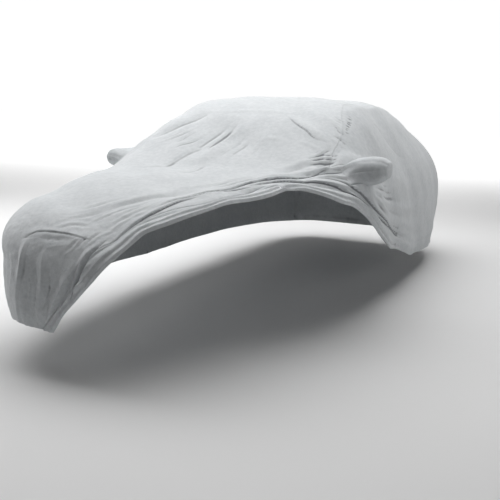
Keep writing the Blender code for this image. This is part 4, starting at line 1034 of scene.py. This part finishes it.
# Each section: x, y of its middle, height of its middle, half length along y, half height
leftPocket = {
    "name": "leftMirrorPocketCloth", "flat": (0.30, 0.62), "outwards": 1.0, "bulge": 0.014, "power": 2.6,
    "rings": 46, "tipRings": 10, "tipShare": 0.02, "mouthShare": 0.40, "seed": 91,
    "sections": [(0.895, -1.180, 1.042, 0.124, 0.092), (0.950, -1.182, 1.048, 0.122, 0.092),
                 (1.012, -1.182, 1.056, 0.110, 0.080), (1.052, -1.180, 1.060, 0.084, 0.054)],
}
rightPocket = {
    "name": "rightMirrorPocketCloth", "flat": (0.28, 0.60), "outwards": -1.0, "bulge": 0.012, "power": 3.0,
    "rings": 40, "tipRings": 10, "tipShare": 0.02, "mouthShare": 0.42, "seed": 95,
    "sections": [(-0.930, -1.185, 1.020, 0.118, 0.064), (-0.972, -1.182, 1.020, 0.112, 0.062),
                 (-1.008, -1.180, 1.020, 0.098, 0.054), (-1.028, -1.178, 1.020, 0.074, 0.036)],
}
leftPocketPiece, leftPocketArea = mirrorPocket(leftPocket, leftSurface, True)
rightPocketPiece, rightPocketArea = mirrorPocket(rightPocket, rightSurface, False)
print("mirror pockets made")

# Each piece with its part's node, slot name, settings, measured area and the pieces it lies against
declared = [
    (topPiece, "top_panel", "top_cloth", topPanel, topArea, [leftPiece, rightPiece]),
    (leftPiece, "left_side_panel", "side_cloth", leftSide, leftArea, [topPiece]),
    (rightPiece, "right_side_panel", "side_cloth", rightSide, rightArea, [topPiece]),
    (leftPocketPiece, "left_mirror_pocket", "pocket_cloth", leftPocket, leftPocketArea, [leftPiece]),
    (rightPocketPiece, "right_mirror_pocket", "pocket_cloth", rightPocket, rightPocketArea, [rightPiece]),
]
for piece, node, slotName, settings, area, neighbours in declared:
    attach(piece, "root")
    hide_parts(node)

# The floor's own light and the sky's grow towards the back, as in front of a lit white wall
stage = {"floorSide": 40, "floorColour": (0.80, 0.80, 0.80, 1), "floorLight": 0.95,
         "floorGrowth": (4.0, 13.0), "floorRoughness": 0.9, "floorSpecular": 0.1, "white": (1.0, 1.0, 1.0, 1),
         "backwards": (-0.386, 0.922, 0.0), "skyLight": 0.96, "skyGrowth": (0.02, 0.36),
         "skyTop": (0.18, 0.50), "skyLeast": 0.05}
mesh = bpy.data.meshes.new("studioFloor")
side = stage["floorSide"]
mesh.from_pydata([(x, y, ground) for x, y in ((-side, -side), (side, -side), (side, side), (-side, side))],
                 [], [(0, 1, 2, 3)])
floor = placed("studioFloor", mesh)
paint = Shader(bpy.data.materials.new("studioFloorPaint"))
away = paint.node("VectorMath", "Value", {0: paint.node("TexCoord", "Object"), 1: stage["backwards"]},
                  operation="DOT_PRODUCT")
paint.setSurface({
    "Base Color": stage["floorColour"], "Roughness": stage["floorRoughness"],
    "Specular IOR Level": stage["floorSpecular"], "Emission Color": stage["white"],
    "Emission Strength": away.between(*stage["floorGrowth"]) * stage["floorLight"]})
mesh.materials.append(paint.owner)

sky = Shader(bpy.data.worlds.new("studioSky"), "Background")
direction = sky.node("TexCoord", "Generated")
away = sky.node("VectorMath", "Value", {0: direction, 1: stage["backwards"]}, operation="DOT_PRODUCT")
high = sky.node("SeparateXYZ", "Z", {"Vector": direction}).between(*stage["skyTop"])
light = away.between(*stage["skyGrowth"]) * (1 - high) * stage["skyLight"] + stage["skyLeast"]
sky.setSurface({"Color": stage["white"], "Strength": light})
bpy.context.scene.world = sky.owner

lights = [
    # name, width, length, power, place, aimed at
    ("frontSoftbox", 10.0, 5.2, 425.0, (-2.1, -0.9, 4.2), (-2.1, -0.8999, 0.0)),
    ("rearSoftbox", 10.0, 5.8, 270.0, (-2.1, 4.6, 4.2), (-2.1, 4.6001, 0.0)),
    ("leftSoftbox", 4.0, 2.5, 52.0, (7.5, 0.4, 1.0), (0.9, 0.2, -0.9)),
    ("rightSoftbox", 3.0, 2.0, 75.0, (-6.5, -1.4, 0.3), (-0.6, -2.6, -1.0)),
]
for name, width, length, power, place, target in lights:
    lamp = bpy.data.lights.new(name, "AREA")
    lamp.shape = "RECTANGLE"
    lamp.size = width
    lamp.size_y = length
    lamp.energy = power
    holder = placed(name, lamp)
    holder.location = place
    holder.rotation_euler = (Vector(target) - Vector(place)).to_track_quat("-Z", "Y").to_euler()
bpy.context.scene.view_settings.view_transform = "Standard"

cameraView = {"place": (2.2169, -6.2446, 1.4574), "yaw": 22.692, "pitch": 10.583, "roll": 2.301,
              "lens": 57.30, "sensor": 36.0, "shift": (0.00262, 0.00064)}
cameraData = bpy.data.cameras.new("photoCamera")
cameraData.sensor_width = cameraView["sensor"]
cameraData.lens = cameraView["lens"]
cameraData.shift_x, cameraData.shift_y = cameraView["shift"]
camera = placed("photoCamera", cameraData)
camera.matrix_world = Matrix.Translation(Vector(cameraView["place"]) + Vector((0, 0, ground)))
for angle, axis in ((cameraView["yaw"], "Z"), (90 - cameraView["pitch"], "X"), (cameraView["roll"], "Z")):
    camera.matrix_world @= Matrix.Rotation(math.radians(angle), 4, axis)
bpy.context.scene.camera = camera
print("stage, lights and camera made")
